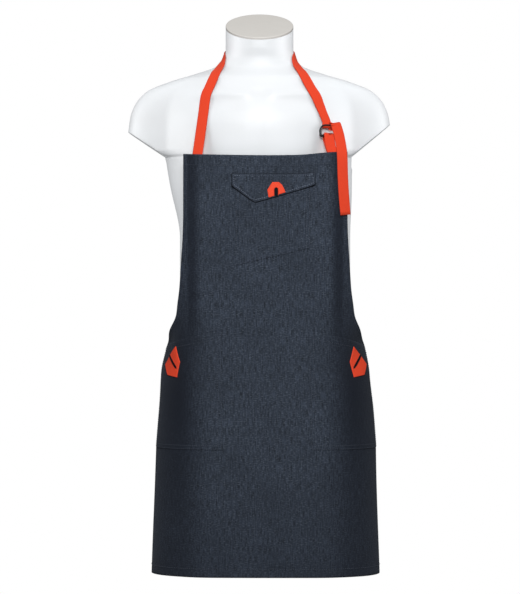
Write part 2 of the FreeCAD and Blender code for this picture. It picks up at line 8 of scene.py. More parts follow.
import bmesh
import bpy
import numpy as np
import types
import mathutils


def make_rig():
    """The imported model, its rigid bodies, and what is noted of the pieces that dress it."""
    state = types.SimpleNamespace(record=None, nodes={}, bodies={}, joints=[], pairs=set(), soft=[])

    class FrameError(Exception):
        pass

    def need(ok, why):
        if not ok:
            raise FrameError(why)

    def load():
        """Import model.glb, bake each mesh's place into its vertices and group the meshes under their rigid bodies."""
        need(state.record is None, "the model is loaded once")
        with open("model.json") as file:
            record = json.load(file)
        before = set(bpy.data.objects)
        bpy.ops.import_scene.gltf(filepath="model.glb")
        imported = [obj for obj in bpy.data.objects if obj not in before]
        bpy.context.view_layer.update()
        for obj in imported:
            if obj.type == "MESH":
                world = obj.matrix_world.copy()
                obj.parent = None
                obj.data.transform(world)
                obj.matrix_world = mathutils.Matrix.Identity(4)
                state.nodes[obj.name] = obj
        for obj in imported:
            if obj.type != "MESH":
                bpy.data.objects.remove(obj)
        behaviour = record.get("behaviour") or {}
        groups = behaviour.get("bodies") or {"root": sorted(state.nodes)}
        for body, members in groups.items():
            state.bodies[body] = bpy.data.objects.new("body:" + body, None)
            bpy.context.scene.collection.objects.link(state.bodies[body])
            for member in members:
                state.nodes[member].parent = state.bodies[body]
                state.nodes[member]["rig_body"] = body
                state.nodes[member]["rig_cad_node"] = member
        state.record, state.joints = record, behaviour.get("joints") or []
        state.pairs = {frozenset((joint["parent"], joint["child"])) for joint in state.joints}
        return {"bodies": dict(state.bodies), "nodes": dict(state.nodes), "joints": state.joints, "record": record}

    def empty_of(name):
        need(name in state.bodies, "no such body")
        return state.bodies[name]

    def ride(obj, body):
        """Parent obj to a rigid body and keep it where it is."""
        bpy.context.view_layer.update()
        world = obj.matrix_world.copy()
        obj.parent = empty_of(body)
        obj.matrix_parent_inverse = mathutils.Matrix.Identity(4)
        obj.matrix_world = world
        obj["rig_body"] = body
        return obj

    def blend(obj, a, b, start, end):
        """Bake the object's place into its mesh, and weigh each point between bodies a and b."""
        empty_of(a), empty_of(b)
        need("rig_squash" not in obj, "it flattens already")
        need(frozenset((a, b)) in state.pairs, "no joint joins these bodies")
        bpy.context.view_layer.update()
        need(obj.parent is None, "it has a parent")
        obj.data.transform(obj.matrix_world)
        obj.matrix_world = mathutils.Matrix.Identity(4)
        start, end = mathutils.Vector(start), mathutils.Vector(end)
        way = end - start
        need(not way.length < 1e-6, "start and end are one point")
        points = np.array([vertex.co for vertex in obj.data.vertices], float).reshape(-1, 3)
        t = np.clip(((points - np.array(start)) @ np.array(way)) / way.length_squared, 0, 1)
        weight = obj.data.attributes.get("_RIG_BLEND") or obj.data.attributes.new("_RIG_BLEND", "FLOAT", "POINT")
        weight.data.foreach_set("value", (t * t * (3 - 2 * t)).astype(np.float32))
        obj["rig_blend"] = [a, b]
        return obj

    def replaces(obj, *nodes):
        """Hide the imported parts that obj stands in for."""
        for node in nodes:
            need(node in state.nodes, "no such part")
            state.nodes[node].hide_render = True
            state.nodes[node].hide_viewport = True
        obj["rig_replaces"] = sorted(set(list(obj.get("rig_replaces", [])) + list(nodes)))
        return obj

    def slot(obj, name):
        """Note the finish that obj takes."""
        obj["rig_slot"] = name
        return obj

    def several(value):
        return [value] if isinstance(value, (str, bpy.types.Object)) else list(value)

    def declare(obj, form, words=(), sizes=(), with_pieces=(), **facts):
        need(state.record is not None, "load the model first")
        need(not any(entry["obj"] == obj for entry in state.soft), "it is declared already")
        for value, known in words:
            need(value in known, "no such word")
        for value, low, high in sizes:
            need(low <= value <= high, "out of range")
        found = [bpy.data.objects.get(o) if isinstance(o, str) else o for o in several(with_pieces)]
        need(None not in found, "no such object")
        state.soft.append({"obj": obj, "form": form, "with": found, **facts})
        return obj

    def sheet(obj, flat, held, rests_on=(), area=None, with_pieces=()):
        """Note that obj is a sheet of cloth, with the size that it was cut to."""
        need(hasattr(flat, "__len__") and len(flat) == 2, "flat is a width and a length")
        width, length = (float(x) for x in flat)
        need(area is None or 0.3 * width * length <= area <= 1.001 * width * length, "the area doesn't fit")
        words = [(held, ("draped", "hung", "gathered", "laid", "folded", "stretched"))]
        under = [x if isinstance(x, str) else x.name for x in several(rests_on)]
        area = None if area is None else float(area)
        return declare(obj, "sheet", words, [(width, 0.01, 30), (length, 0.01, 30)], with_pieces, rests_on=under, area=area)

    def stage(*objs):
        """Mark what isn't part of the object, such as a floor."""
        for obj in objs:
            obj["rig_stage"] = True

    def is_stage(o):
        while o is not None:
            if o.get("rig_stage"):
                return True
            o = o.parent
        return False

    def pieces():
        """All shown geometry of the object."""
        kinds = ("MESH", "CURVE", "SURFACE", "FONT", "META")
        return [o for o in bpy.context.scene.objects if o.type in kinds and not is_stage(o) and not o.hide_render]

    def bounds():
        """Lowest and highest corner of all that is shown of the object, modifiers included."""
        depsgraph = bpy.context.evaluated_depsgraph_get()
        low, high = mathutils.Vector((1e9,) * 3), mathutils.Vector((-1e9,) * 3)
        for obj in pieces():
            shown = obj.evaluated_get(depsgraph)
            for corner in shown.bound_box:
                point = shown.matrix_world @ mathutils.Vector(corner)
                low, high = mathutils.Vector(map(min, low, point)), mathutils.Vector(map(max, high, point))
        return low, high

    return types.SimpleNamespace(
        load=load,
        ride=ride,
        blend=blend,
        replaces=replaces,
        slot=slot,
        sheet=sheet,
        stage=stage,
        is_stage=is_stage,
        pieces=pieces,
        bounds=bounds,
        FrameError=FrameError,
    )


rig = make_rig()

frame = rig.load()
CAD_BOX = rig.bounds()
ROOT = "worn_apron"
MM = 0.001


# ---------------------------------------------------------------- arithmetic
def smooth(value):
    """Ease from 0 to 1 with flat ends: 3t^2 - 2t^3 on the clamped value."""
    value = np.clip(value, 0.0, 1.0)
    return value * value * (3.0 - 2.0 * value)


def unit(vectors):
    length = np.linalg.norm(vectors, axis=-1, keepdims=True)
    return vectors / np.maximum(length, 1e-9)


def bump_at(value, centre, width):
    """A bell: exp of minus the squared distance from the centre in widths."""
    return np.exp(-((value - centre) / width) ** 2)


def eased(stations, places):
    """Columns of a station table at many places, through a monotone cubic."""
    table = np.array(stations, float)
    knots = table[:, 0]
    gap = np.diff(knots)
    result = []
    for values in table[:, 1:].T:
        slope = np.diff(values) / gap
        inner = np.where(slope[:-1] * slope[1:] > 0,
                         2 * slope[:-1] * slope[1:] / (slope[:-1] + slope[1:] + 1e-12), 0.0)
        tangent = np.concatenate([[slope[0]], inner, [slope[-1]]])
        spot = np.clip(places, knots[0], knots[-1])
        i = np.clip(np.searchsorted(knots, spot) - 1, 0, len(gap) - 1)
        t = (spot - knots[i]) / gap[i]
        a, b = values[i], values[i + 1]
        m, n = tangent[i] * gap[i], tangent[i + 1] * gap[i]
        result.append((2 * t**3 - 3 * t**2 + 1) * a + (t**3 - 2 * t**2 + t) * m
                      + (3 * t**2 - 2 * t**3) * b + (t**3 - t**2) * n)
    return result


def spline(points, per_span):
    """Catmull-Rom curve through the points, per_span samples on each span."""
    points = np.array(points, float)
    padded = np.vstack([2 * points[0] - points[1], points, 2 * points[-1] - points[-2]])
    t = np.linspace(0, 1, per_span, endpoint=False)[:, None]
    spans = []
    for a, b, c, d in zip(padded, padded[1:], padded[2:], padded[3:]):
        spans.append(0.5 * (2 * b + (c - a) * t + (2 * a - 5 * b + 4 * c - d) * t**2
                            + (3 * b - a - 3 * c + d) * t**3))
    return np.vstack(spans + [points[-1:]])


# ---------------------------------------------------------------- meshes
def mesh_piece(name, points, faces, uv=None, flat=False):
    """An object from points in millimetres, faces and one UV per point in millimetres."""
    mesh = bpy.data.meshes.new(name)
    mesh.from_pydata(np.asarray(points, float) * MM, [], np.asarray(faces))
    if uv is not None:
        corner = np.empty(len(mesh.loops), np.int32)
        mesh.loops.foreach_get("vertex_index", corner)
        layer = mesh.uv_layers.new(name="UVMap")
        layer.data.foreach_set("uv", (np.asarray(uv, float)[corner] * MM).ravel())
    mesh.polygons.foreach_set("use_smooth", np.full(len(mesh.polygons), not flat))
    mesh.update()
    piece = bpy.data.objects.new(name, mesh)
    bpy.context.scene.collection.objects.link(piece)
    return piece


def grid_faces(rows, columns, wrap=False):
    """Quads of a rows by columns grid; wrap joins the last column to the first."""
    index = np.arange(rows * columns).reshape(rows, columns)
    right = np.roll(index, -1, axis=1)
    if not wrap:
        index, right = index[:, :-1], right[:, :-1]
    return np.stack([index[:-1], right[:-1], right[1:], index[1:]], -1).reshape(-1, 4)


def grid_piece(name, points, uv=None):
    rows, columns = points.shape[:2]
    flat_uv = None if uv is None else uv.reshape(-1, 2)
    return mesh_piece(name, points.reshape(-1, 3), grid_faces(rows, columns), flat_uv)


def finish_mesh(piece, thickness=0.0, offset=-1.0, bevel=0.0):
    """Give a sheet its thickness, in millimetres, and soften its cut edges."""
    if thickness:
        solid = piece.modifiers.new("thickness", "SOLIDIFY")
        solid.thickness = thickness * MM
        solid.offset = offset
        solid.use_even_offset = True
    if bevel:
        round_off = piece.modifiers.new("edges", "BEVEL")
        round_off.width = bevel * MM
        round_off.segments = 2
        round_off.limit_method = "ANGLE"
        round_off.angle_limit = math.radians(50)
    return piece


def dress(piece, material, slot, body=ROOT, nodes=()):
    """Material, record slot, body and the CAD nodes that the piece stands for."""
    piece.data.materials.clear()
    piece.data.materials.append(material)
    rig.ride(piece, body)
    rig.slot(piece, slot)
    if nodes:
        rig.replaces(piece, *nodes)
    return piece


# ---------------------------------------------------------------- the torso
# height, half width with arms, half width of the trunk, front depth, back depth
FORM = [
    (0, 165, 165, 105, 105), (40, 166, 166, 102, 108), (120, 165, 165, 98, 110),
    (205, 164, 164, 96, 102), (300, 163, 163, 98, 96), (380, 161, 161, 102, 97),
    (450, 161, 161, 106, 100), (541, 171, 171, 111, 108), (590, 176, 176, 113, 112),
    (600, 178, 178, 113, 113), (606, 218, 178, 113, 113), (616, 242, 178, 113, 114),
    (640, 249, 178, 112, 114), (660, 247, 178, 110, 114), (680, 244, 177, 105, 113),
    (703, 235, 172, 96, 110), (727, 213, 158, 84, 103), (743, 176, 134, 74, 96),
    (759, 124, 104, 65, 86), (774, 84, 80, 59, 74), (788, 68, 68, 58, 64),
    (806, 64, 64, 60, 60), (890, 64, 64, 60, 60),
]
NECK_SHIFT = -10.5
NECK_CUT_HEIGHT = 848.5
NECK_CUT_TILT = math.radians(26.2)
ARM_HALF_DEPTH = 62
# side, reach from the middle and tilt of each arm's slanted end, at the armpit's height
ARM_CUTS = [(-1, 178, math.radians(33.3)), (1, 173, math.radians(39.3))]
ARMPIT_HEIGHT = 604


def form_centre(height):
    return NECK_SHIFT * smooth((height - 450) / 150.0)


def form_point(height, angle):
    """Skin of the torso: y = fourth-power sum of an oval trunk and a flatter oval through the
    arms, with shallow chest muscles, collarbones and a hollow between them added in front."""
    height, angle = np.broadcast_arrays(np.asarray(height, float), np.asarray(angle, float))
    half, trunk, front, back = eased(FORM, height)
    shoulder = smooth((height - 520) / 80.0) * smooth((788 - height) / 40.0)
    cosine, sine = np.cos(angle), np.sin(angle)
    across = half * np.sign(cosine) * np.abs(cosine) ** (1 - 0.15 * shoulder)
    near = np.minimum(np.abs(across) / trunk, 1.0)
    far = np.minimum(np.abs(across) / half, 1.0)
    chest = np.where(sine > 0, front, back) * np.sqrt(1 - near**2)
    arm = shoulder * ARM_HALF_DEPTH * (1 - far**2.6) ** (1 / 2.6)
    depth = (chest**4 + arm**4) ** 0.25
    side = np.abs(across)
    facing = smooth(sine / 0.35)
    bone_line = 713 + 0.07 * side - 0.0012 * (side - 60) ** 2 * (side > 60)
    relief = 2.6 * bump_at(height, bone_line, 9) * smooth((side - 8) / 16) * smooth((150 - side) / 60)
    relief -= 1.8 * bump_at(height, bone_line - 20, 12) * smooth((side - 20) / 30) * smooth((150 - side) / 60)
    relief -= 3.0 * bump_at(height, 716, 12) * bump_at(side, 0, 11)
    relief -= 2.0 * bump_at(side, 0, 13) * smooth((height - 470) / 60) * smooth((700 - height) / 40)
    relief += 2.5 * bump_at(side, 78, 46) * bump_at(height, 590, 62)
    depth = depth + facing * relief
    return np.stack([form_centre(height) + across, -np.sign(sine) * depth, height], -1)


def plane_cut(mesh, point, normal):
    """Cut the closed mesh with a plane, keep what is behind it and close the cut."""
    work = bmesh.new()
    work.from_mesh(mesh)
    geometry = work.verts[:] + work.edges[:] + work.faces[:]
    cut = bmesh.ops.bisect_plane(work, geom=geometry, plane_co=point, plane_no=normal,
                                 clear_outer=True, dist=1e-6)
    rim = [item for item in cut["geom_cut"] if isinstance(item, bmesh.types.BMEdge)]
    made = bmesh.ops.holes_fill(work, edges=rim, sides=0)
    for face in made["faces"]:
        face.smooth = False
    for edge in rim:
        if edge.is_valid:
            edge.smooth = False
    work.to_mesh(mesh)
    work.free()


def torso():
    """Skin on a grid of heights and angles, cut at the neck, with flat ends to the arms and an
    inner lip below."""
    rows = np.unique(np.concatenate([np.linspace(0, 590, 110), np.linspace(590, 625, 24),
                                     np.linspace(625, 810, 110), np.linspace(810, 890, 24)]))
    angles = np.linspace(0, 2 * np.pi, 240, endpoint=False) + 0.5 * np.pi / 240
    skin = form_point(rows[:, None], angles[None, :])
    lip = skin[:1].copy()
    lip[..., :2] = (lip[..., :2]) * 0.974
    inner = lip.copy()
    inner[..., 2] = 30
    # the slanted flat ends of the arms: no point goes further out than the end's plane
    for side, reach, tilt in ARM_CUTS:
        limit = reach + np.maximum(skin[..., 2] - ARMPIT_HEIGHT, 0) / math.tan(tilt)
        out = side * (skin[..., 0] - NECK_SHIFT)
        beyond = (out > limit) & (skin[..., 2] > ARMPIT_HEIGHT - 20)
        skin[..., 0] = np.where(beyond, NECK_SHIFT + side * limit, skin[..., 0])
    stack = np.concatenate([inner, lip, skin], 0)
    count, around = stack.shape[:2]
    faces = grid_faces(count, around, wrap=True)[:, ::-1]
    points = stack.reshape(-1, 3)
    piece = mesh_piece("torso_skin", points, faces)
    work = bmesh.new()
    work.from_mesh(piece.data)
    work.verts.ensure_lookup_table()
    for first in (0, (count - 1) * around):
        ring = [work.verts[first + i] for i in range(around)]
        work.faces.new(ring)
    bmesh.ops.recalc_face_normals(work, faces=work.faces)
    for edge in work.edges:
        if len(edge.link_faces) == 2 and edge.calc_face_angle(0) > 0.6:
            edge.smooth = False
    work.to_mesh(piece.data)
    work.free()
    plane_cut(piece.data, (NECK_SHIFT * MM, 0, NECK_CUT_HEIGHT * MM),
              (0, -math.sin(NECK_CUT_TILT), math.cos(NECK_CUT_TILT)))
    return piece


def neck_plate():
    """Oval plate on the cut of the neck: a disc of rings with a rounded rim, tilted."""
    rim = [(0.0, 1.0, -0.02), (0.0, 1.0, 0.0), (0.0, 1.0, 2.9), (-0.35, 1.0, 3.65), (-1.1, 1.0, 4.0)]
    rows = [(inset, scale, up) for inset, scale, up in rim]
    rows += [(-1.1, scale, 4.0) for scale in np.linspace(0.96, 0.02, 14)]
    angle = np.linspace(0, 2 * np.pi, 160, endpoint=False)
    points = []
    for inset, scale, up in rows:
        x = (64 + inset) * scale * np.cos(angle)
        y = (60 / math.cos(NECK_CUT_TILT) + inset) * scale * np.sin(angle)
        points.append(np.stack([NECK_SHIFT + x,
                                y * math.cos(NECK_CUT_TILT) - up * math.sin(NECK_CUT_TILT),
                                NECK_CUT_HEIGHT + y * math.sin(NECK_CUT_TILT)
                                + up * math.cos(NECK_CUT_TILT)], -1))
    points = np.array(points)
    faces = [list(face) for face in grid_faces(len(rows), 160, wrap=True)]
    faces.append(list(range((len(rows) - 1) * 160, len(rows) * 160)))
    faces.append(list(range(159, -1, -1)))
    mesh = bpy.data.meshes.new("neck_plate")
    mesh.from_pydata(points.reshape(-1, 3) * MM, [], faces)
    mesh.polygons.foreach_set("use_smooth", np.full(len(mesh.polygons), True))
    mesh.update()
    piece = bpy.data.objects.new("neck_plate", mesh)
    bpy.context.scene.collection.objects.link(piece)
    return piece


# ---------------------------------------------------------------- the cloth
HEM, WAIST, BIB_TOP = -176.0, 205.0, 602.0
BIB_HALF, SKIRT_HALF = 153.0, 350.0
CLOTH = 1.4
# height, turn in degrees, where the turn starts and ends along the cloth, front distance
DRAPE = np.array([
    (HEM, 130, 70, 380, 130), (60, 130, 68, 367, 127), (WAIST, 130, 50, 360, 124),
    (260, 125, 45, 335, 123.5), (300, 115, 40, 350, 123), (370, 100, 30, 400, 123),
    (BIB_TOP, 90, 20, 420, 122)], float)
HEIGHTS = np.linspace(HEM - 4, BIB_TOP + 6, 395)
WIDTHS = np.linspace(-358, 358, 717)


def folds(across, height):
    """How far the cloth stands out of its smooth drape: a few soft waves that grow to the hem,
    drag lines that run from the waist corners, and a shallow ripple on the bib."""
    side, far = np.sign(across), np.abs(across)
    fall = smooth((190 - height) / 330)
    hang = fall * smooth((far - 95) / 90)
    wave = 3.4 * hang * np.sin(far / 27.0 + 0.5 * side + height / 420.0)
    wave += 1.6 * fall * np.sin(across / 74.0 + 0.9) * np.cos(height / 260.0)
    pull = bump_at(height, 232 - 0.2 * (far - 200), 60) * smooth((far - 105) / 70)
    wave += 2.0 * pull * np.sin((far - 0.55 * (height - 215)) / 17.0 + 0.7 * side)
    bib = smooth((height - 290) / 90)
    wave += 0.9 * bib * np.sin(across / 41.0 + height / 170.0 + 0.4)
    wave += 0.7 * bib * np.sin(across / 23.0 - height / 95.0) * smooth((far - 60) / 60)
    wave += 0.5 * np.sin(across / 31.0 + 2.1) * np.sin(height / 44.0 + across / 160.0)
    edge = armhole(height) - far
    wave += 1.1 * bump_at(edge, 0, 9) * (height > WAIST)
    return wave


def armhole(height):
    """Half width of the cloth: bib, then a seventh-power sweep out to the waist corners."""
    drop = np.clip((BIB_TOP - height) / (BIB_TOP - WAIST), 0, 1)
    eased_in = 3.5 * bump_at(height, 395, 55) - 7.0 * bump_at(height, 297, 22)
    return np.where(height <= WAIST, SKIRT_HALF,
                    BIB_HALF + (SKIRT_HALF - BIB_HALF) * drop**7 + eased_in)


def cloth_table():
    """Middle surface of the cloth on a grid: its direction turns by an eased angle, and its
    place is the running sum of that direction from the middle of the front."""
    turn, start, end, front = [np.interp(HEIGHTS, DRAPE[:, 0], DRAPE[:, k])[:, None]
                               for k in range(1, 5)]
    kernel = np.hanning(15) / np.hanning(15).sum()
    turn, start, end, front = [
        np.convolve(np.pad(v[:, 0], 7, mode="edge"), kernel, "valid")[:, None]
        for v in (turn, start, end, front)]
    step = WIDTHS[1] - WIDTHS[0]
    middle = (WIDTHS[:-1] + WIDTHS[1:]) / 2
    angle = np.radians(turn) * smooth((np.abs(middle) - start) / (end - start)) * np.sign(middle)
    x = np.cumsum(np.cos(angle) * step, 1)
    y = np.cumsum(np.sin(angle) * step, 1)
    zero = np.zeros((len(HEIGHTS), 1))
    x, y = np.hstack([zero, x]), np.hstack([zero, y])
    centre = len(WIDTHS) // 2
    x, y = x - x[:, centre:centre + 1], y - y[:, centre:centre + 1] - front
    heights = np.repeat(HEIGHTS[:, None], len(WIDTHS), 1)
    sway = smooth((235 - HEIGHTS) / 110)[:, None] * (2.4 + 1.6 * np.tanh(WIDTHS / 90))[None, :]
    x = x + sway
    dip = 3.2 * smooth((HEIGHTS - 430) / 160)[:, None] * ((WIDTHS[None, :] / 150) ** 2 - 0.75)
    # the knot of rings pulls its own corner of the bib up
    tug = 4.2 * smooth((HEIGHTS - 510) / 90)[:, None] * smooth((WIDTHS - 55) / 75)[None, :]
    place = np.stack([x, y, heights + np.minimum(dip, 2.0) + tug], -1)
    place += outward(place) * folds(WIDTHS[None, :], HEIGHTS[:, None])[..., None]
    return place, outward(place)


def outward(place):
    """Outward normal of the cloth from the differences across and along the grid."""
    return unit(np.cross(np.gradient(place, axis=1), np.gradient(place, axis=0)))


PLACE, NORMAL = cloth_table()


def on_cloth(across, height, lift=0.0):
    """Points of the cloth at distances across it and heights, lifted along its normal."""
    across, height, lift = np.broadcast_arrays(across, height, lift)
    a = np.clip((across - WIDTHS[0]) / (WIDTHS[1] - WIDTHS[0]), 0, len(WIDTHS) - 1.001)
    b = np.clip((height - HEIGHTS[0]) / (HEIGHTS[1] - HEIGHTS[0]), 0, len(HEIGHTS) - 1.001)
    i, j = a.astype(int), b.astype(int)
    s, t = (a - i)[..., None], (b - j)[..., None]

    def blend(table):
        return ((table[j, i] * (1 - s) + table[j, i + 1] * s) * (1 - t)
                + (table[j + 1, i] * (1 - s) + table[j + 1, i + 1] * s) * t)

    normal = unit(blend(NORMAL))
    return blend(PLACE) + normal * lift[..., None], normal


def clustered(count):
    """Places from 0 to 1, close together at both ends."""
    return 0.5 - 0.5 * np.cos(np.linspace(0, np.pi, count))


def sewn(name, corners, lift, thickness, rows, columns, puff=0.0, gape=0.0, round_over=1.6):
    """A cloth piece between rows of (height, left, right): flat on its seams with a rounded
    edge, puffed in the middle, and standing off at the top where it gapes."""
    corners = np.array(corners, float)
    low, high = corners[0, 0], corners[-1, 0]
    height = low + (high - low) * clustered(rows)
    height = np.unique(np.concatenate([height, corners[:, 0]]))
    left = np.interp(height, corners[:, 0], corners[:, 1])[:, None]
    right = np.interp(height, corners[:, 0], corners[:, 2])[:, None]
    across = left + (right - left) * clustered(columns)[None, :]
    height = np.repeat(height[:, None], across.shape[1], 1)
    inset = np.minimum(np.minimum(across - left, right - across),
                       np.minimum(height - low, high - height))
    lower = np.minimum(np.minimum(across - left, right - across), height - low)
    rounded = np.sqrt(1 - (1 - np.clip(inset / round_over, 0, 1)) ** 2)
    top = smooth((height - high + 45) / 45)
    extra = puff * smooth(lower / 22.0) + gape * top * smooth(lower / 30.0)
    points, _ = on_cloth(across, height, lift + thickness * rounded + extra)
    piece = grid_piece(name, points, np.stack([across, height], -1))
    return finish_mesh(piece, thickness * 0.8)


def panel():
    """The one-piece front: rows of heights, each spread out to the armhole's half width."""
    height = np.unique(np.concatenate([
        np.linspace(HEM, WAIST, 90), np.linspace(WAIST, 262, 60), np.linspace(262, 330, 36),
        np.linspace(330, BIB_TOP, 76)]))[:, None]
    spread = np.linspace(-1, 1, 161)[None, :]
    across = spread * armhole(height)
    height = np.repeat(height, across.shape[1], 1)
    points, _ = on_cloth(across, height, CLOTH / 2)
    piece = grid_piece("denim_panel", points, np.stack([across, height], -1))
    return finish_mesh(piece, CLOTH)


def along_edge(first, last, inset, count=90):
    """A line inside the armhole's edge, right side, between two heights."""
    height = np.linspace(first, last, count)
    return np.stack([armhole(height) - inset, height], -1)


def inner_hem(name, path, width, columns=6):
    """A folded hem on the inside: a strip that runs beside a path of (across, height)."""
    path = np.asarray(path, float)
    along = unit(np.gradient(path, axis=0))
    aside = np.stack([-along[:, 1], along[:, 0]], -1)
    shift = np.linspace(0.4, width, columns)[None, :, None]
    spot = path[:, None, :] + aside[:, None, :] * shift
    lift = -(CLOTH / 2 + 0.15) * np.ones(columns)
    lift[-1] += 0.1
    points, _ = on_cloth(spot[..., 0], spot[..., 1], lift[None, :])
    piece = grid_piece(name, points, spot)
    return finish_mesh(piece, 1.1, offset=1.0)


# ---------------------------------------------------------------- sewing thread
def stitches(name, lines, length=2.9, gap=1.1, thread=0.55):
    """Top-stitching: each stitch is a short bead of thread laid along a line of
    (across, height) with the lift of the cloth under it; its ends dip into the cloth."""
    centres, alongs, normals = [], [], []
    for line, lift in lines:
        line = np.asarray(line, float)
        run = np.concatenate([[0], np.cumsum(np.linalg.norm(np.diff(line, axis=0), axis=1))])
        count = max(1, int(run[-1] / (length + gap)))
        at = (np.arange(count) + 0.5) * run[-1] / count
        spot = np.stack([np.interp(at, run, line[:, k]) for k in (0, 1)], -1)
        ahead = np.stack([np.interp(at + 0.5, run, line[:, k]) for k in (0, 1)], -1)
        here, normal = on_cloth(spot[:, 0], spot[:, 1], lift)
        there, _ = on_cloth(ahead[:, 0], ahead[:, 1], lift)
        good = np.linalg.norm(there - here, axis=1) > 1e-6
        centres.append(here[good])
        alongs.append(unit((there - here)[good]))
        normals.append(normal[good])
    return beads(name, np.vstack(centres), np.vstack(alongs), np.vstack(normals), length, thread)


def beads(name, centres, alongs, normals, length, thread):
    """One small bent rod of four sides and four rings for each centre."""
    aside = unit(np.cross(normals, alongs))
    rings = [(-0.5, -0.25, 0.45), (-0.28, 0.2, 1.0), (0.28, 0.2, 1.0), (0.5, -0.25, 0.45)]
    corners = [(1, 0), (0, 1), (-1, 0), (0, -1)]
    points = []
    for reach, rise, size in rings:
        for right, up in corners:
            points.append(centres + alongs * reach * length
                          + aside * right * size * thread / 2
                          + normals * (rise * thread + up * size * thread / 2))
    points = np.stack(points, 1)
    block = [[4 * r + c, 4 * r + (c + 1) % 4, 4 * r + 4 + (c + 1) % 4, 4 * r + 4 + c]
             for r in range(3) for c in range(4)] + [[3, 2, 1, 0], [12, 13, 14, 15]]
    faces = (np.array(block)[None] + 16 * np.arange(len(centres))[:, None, None]).reshape(-1, 4)
    return mesh_piece(name, points.reshape(-1, 3), faces)


# ---------------------------------------------------------------- webbing
def ribbon(name, centres, normals, width, thickness=1.5, cup=0.0):
    """Webbing along dense centres: a flat section with round selvedges, turned to the
    normals; cup bends the section into a shallow trough, in millimetres at its edges."""
    centres, normals = np.asarray(centres, float), unit(np.asarray(normals, float))
    count = len(centres)
    width = np.broadcast_to(width, count)[:, None, None]
    cup = np.broadcast_to(cup, count)[:, None, None]
    along = unit(np.gradient(centres, axis=0))
    across = unit(np.cross(normals, along))
    out = unit(np.cross(along, across))
    spread = np.sin(np.linspace(-1, 1, 13) * np.pi / 2)
    ease = np.sqrt(1 - np.abs(spread) ** 14)
    section = np.concatenate([np.stack([spread, 0.5 * ease], -1),
                              np.stack([spread, -0.5 * ease], -1)[-2:0:-1]])
    flat, deep = section[None, :, :1], section[None, :, 1:]
    points = (centres[:, None, :] + across[:, None, :] * flat * width / 2
              + out[:, None, :] * (deep * thickness - cup * flat**2))
    around = len(section)
    run = np.concatenate([[0], np.cumsum(np.linalg.norm(np.diff(centres, axis=0), axis=1))])
    uv = np.stack([np.repeat((section[:, 0] * 10)[None], count, 0),
                   np.repeat(run[:, None], around, 1)], -1)
    faces = grid_faces(count, around, wrap=True)[:, ::-1].tolist()
    faces += [list(range(around)), list(range(count * around - 1, (count - 1) * around - 1, -1))]
    mesh = bpy.data.meshes.new(name)
    mesh.from_pydata(points.reshape(-1, 3) * MM, [], faces)
    corner = np.empty(len(mesh.loops), np.int32)
    mesh.loops.foreach_get("vertex_index", corner)
    layer = mesh.uv_layers.new(name="UVMap")
    layer.data.foreach_set("uv", (uv.reshape(-1, 2)[corner] * MM).ravel())
    mesh.polygons.foreach_set("use_smooth", np.full(len(mesh.polygons), True))
    mesh.update()
    piece = bpy.data.objects.new(name, mesh)
    bpy.context.scene.collection.objects.link(piece)
    piece["length_mm"] = float(run[-1])
    return piece


def on_form(height, degrees, lift):
    """Points and normals on the torso's skin."""
    angle = np.radians(degrees)
    around = form_point(height, angle + 0.05) - form_point(height, angle - 0.05)
    upward = form_point(height + 9, angle) - form_point(height - 9, angle)
    normal = unit(np.cross(upward, around))
    point = form_point(height, angle)
    outside = point * np.array([1, 1, 0]) - np.array([1, 0, 0]) * form_centre(height)
    if np.sum(normal * outside) < 0:
        normal = -normal
    return point + normal * lift, normal


STRAP_ROUTE = [
    (711, 111.8), (727, 112), (743, 115.5), (757, 125), (768, 138), (778, 154), (786, 168),
    (793, 185), (799, 204), (804, 225), (807, 247), (808, 270), (807, 293), (804, 315),
    (799, 336), (793, 355), (786, 377), (778, 391), (768, 404.5), (757, 416), (743, 424.5),
    (727, 427.5), (711, 426.8),
]
WEB = 1.5
LEAN, SIDE_TURN = math.radians(14.4), math.radians(14.0)
ASIDE = np.array([math.cos(SIDE_TURN), math.sin(SIDE_TURN), 0])
LEAN_UP = np.array([-math.sin(LEAN) * math.sin(SIDE_TURN),
                    math.sin(LEAN) * math.cos(SIDE_TURN), math.cos(LEAN)])
LEAN_OUT = np.cross(ASIDE, LEAN_UP)
ANCHOR = np.array([119.3, -111.5, BIB_TOP])
WIRE, GAP = 1.35, 0.3
RING_RISE, RING_SPACING = 20, 5.2
BAR_UP = (638.2 - BIB_TOP) / math.cos(LEAN)
FRONT_RING = -(WEB / 2 + GAP + WIRE)
BACK_RING = FRONT_RING - RING_SPACING
BETWEEN = (FRONT_RING + BACK_RING) / 2
BEHIND = BACK_RING - WIRE - GAP - WEB / 2
BEFORE = WEB + 2 * GAP
OVER_BAR = WIRE + GAP + WEB / 2 + 0.8
TURN_ASIDE, TAIL_ASIDE, LOOP_ASIDE = -1.0, 15.5, 1.0
LOOP_ACROSS = 126.5
TURN_LOW = BAR_UP + 19
TURN_TOP = BAR_UP + RING_RISE + 0.3


def leaning(aside, up, out):
    """Point by its distances from the anchor along, up and out of the plane of the rings."""
    return ANCHOR + ASIDE * aside + LEAN_UP * up + LEAN_OUT * out


def arc_frames(x_first, x_last, up, out_first, out_last, first, last, count=6, flat=1.0,
               slope=0.0):
    """Frames round a turn over the rings, drifting sideways. A flat turn is an ellipse of
    flat times its width, and a sloping one folds along a line that falls to the right."""
    radius, middle = abs(out_last - out_first) / 2, (out_first + out_last) / 2
    rise = LEAN_UP * math.cos(slope) + ASIDE * math.sin(slope)
    frames = []
    for part in np.linspace(0, 1, count + 1):
        angle = math.radians(first + part * (last - first))
        reach = LEAN_OUT * math.cos(angle) + rise * math.sin(angle) * flat
        direction = LEAN_OUT * math.cos(angle) + rise * math.sin(angle)
        frames.append((leaning(x_first + part * (x_last - x_first), up, middle)
                       + reach * radius, direction))
    return frames


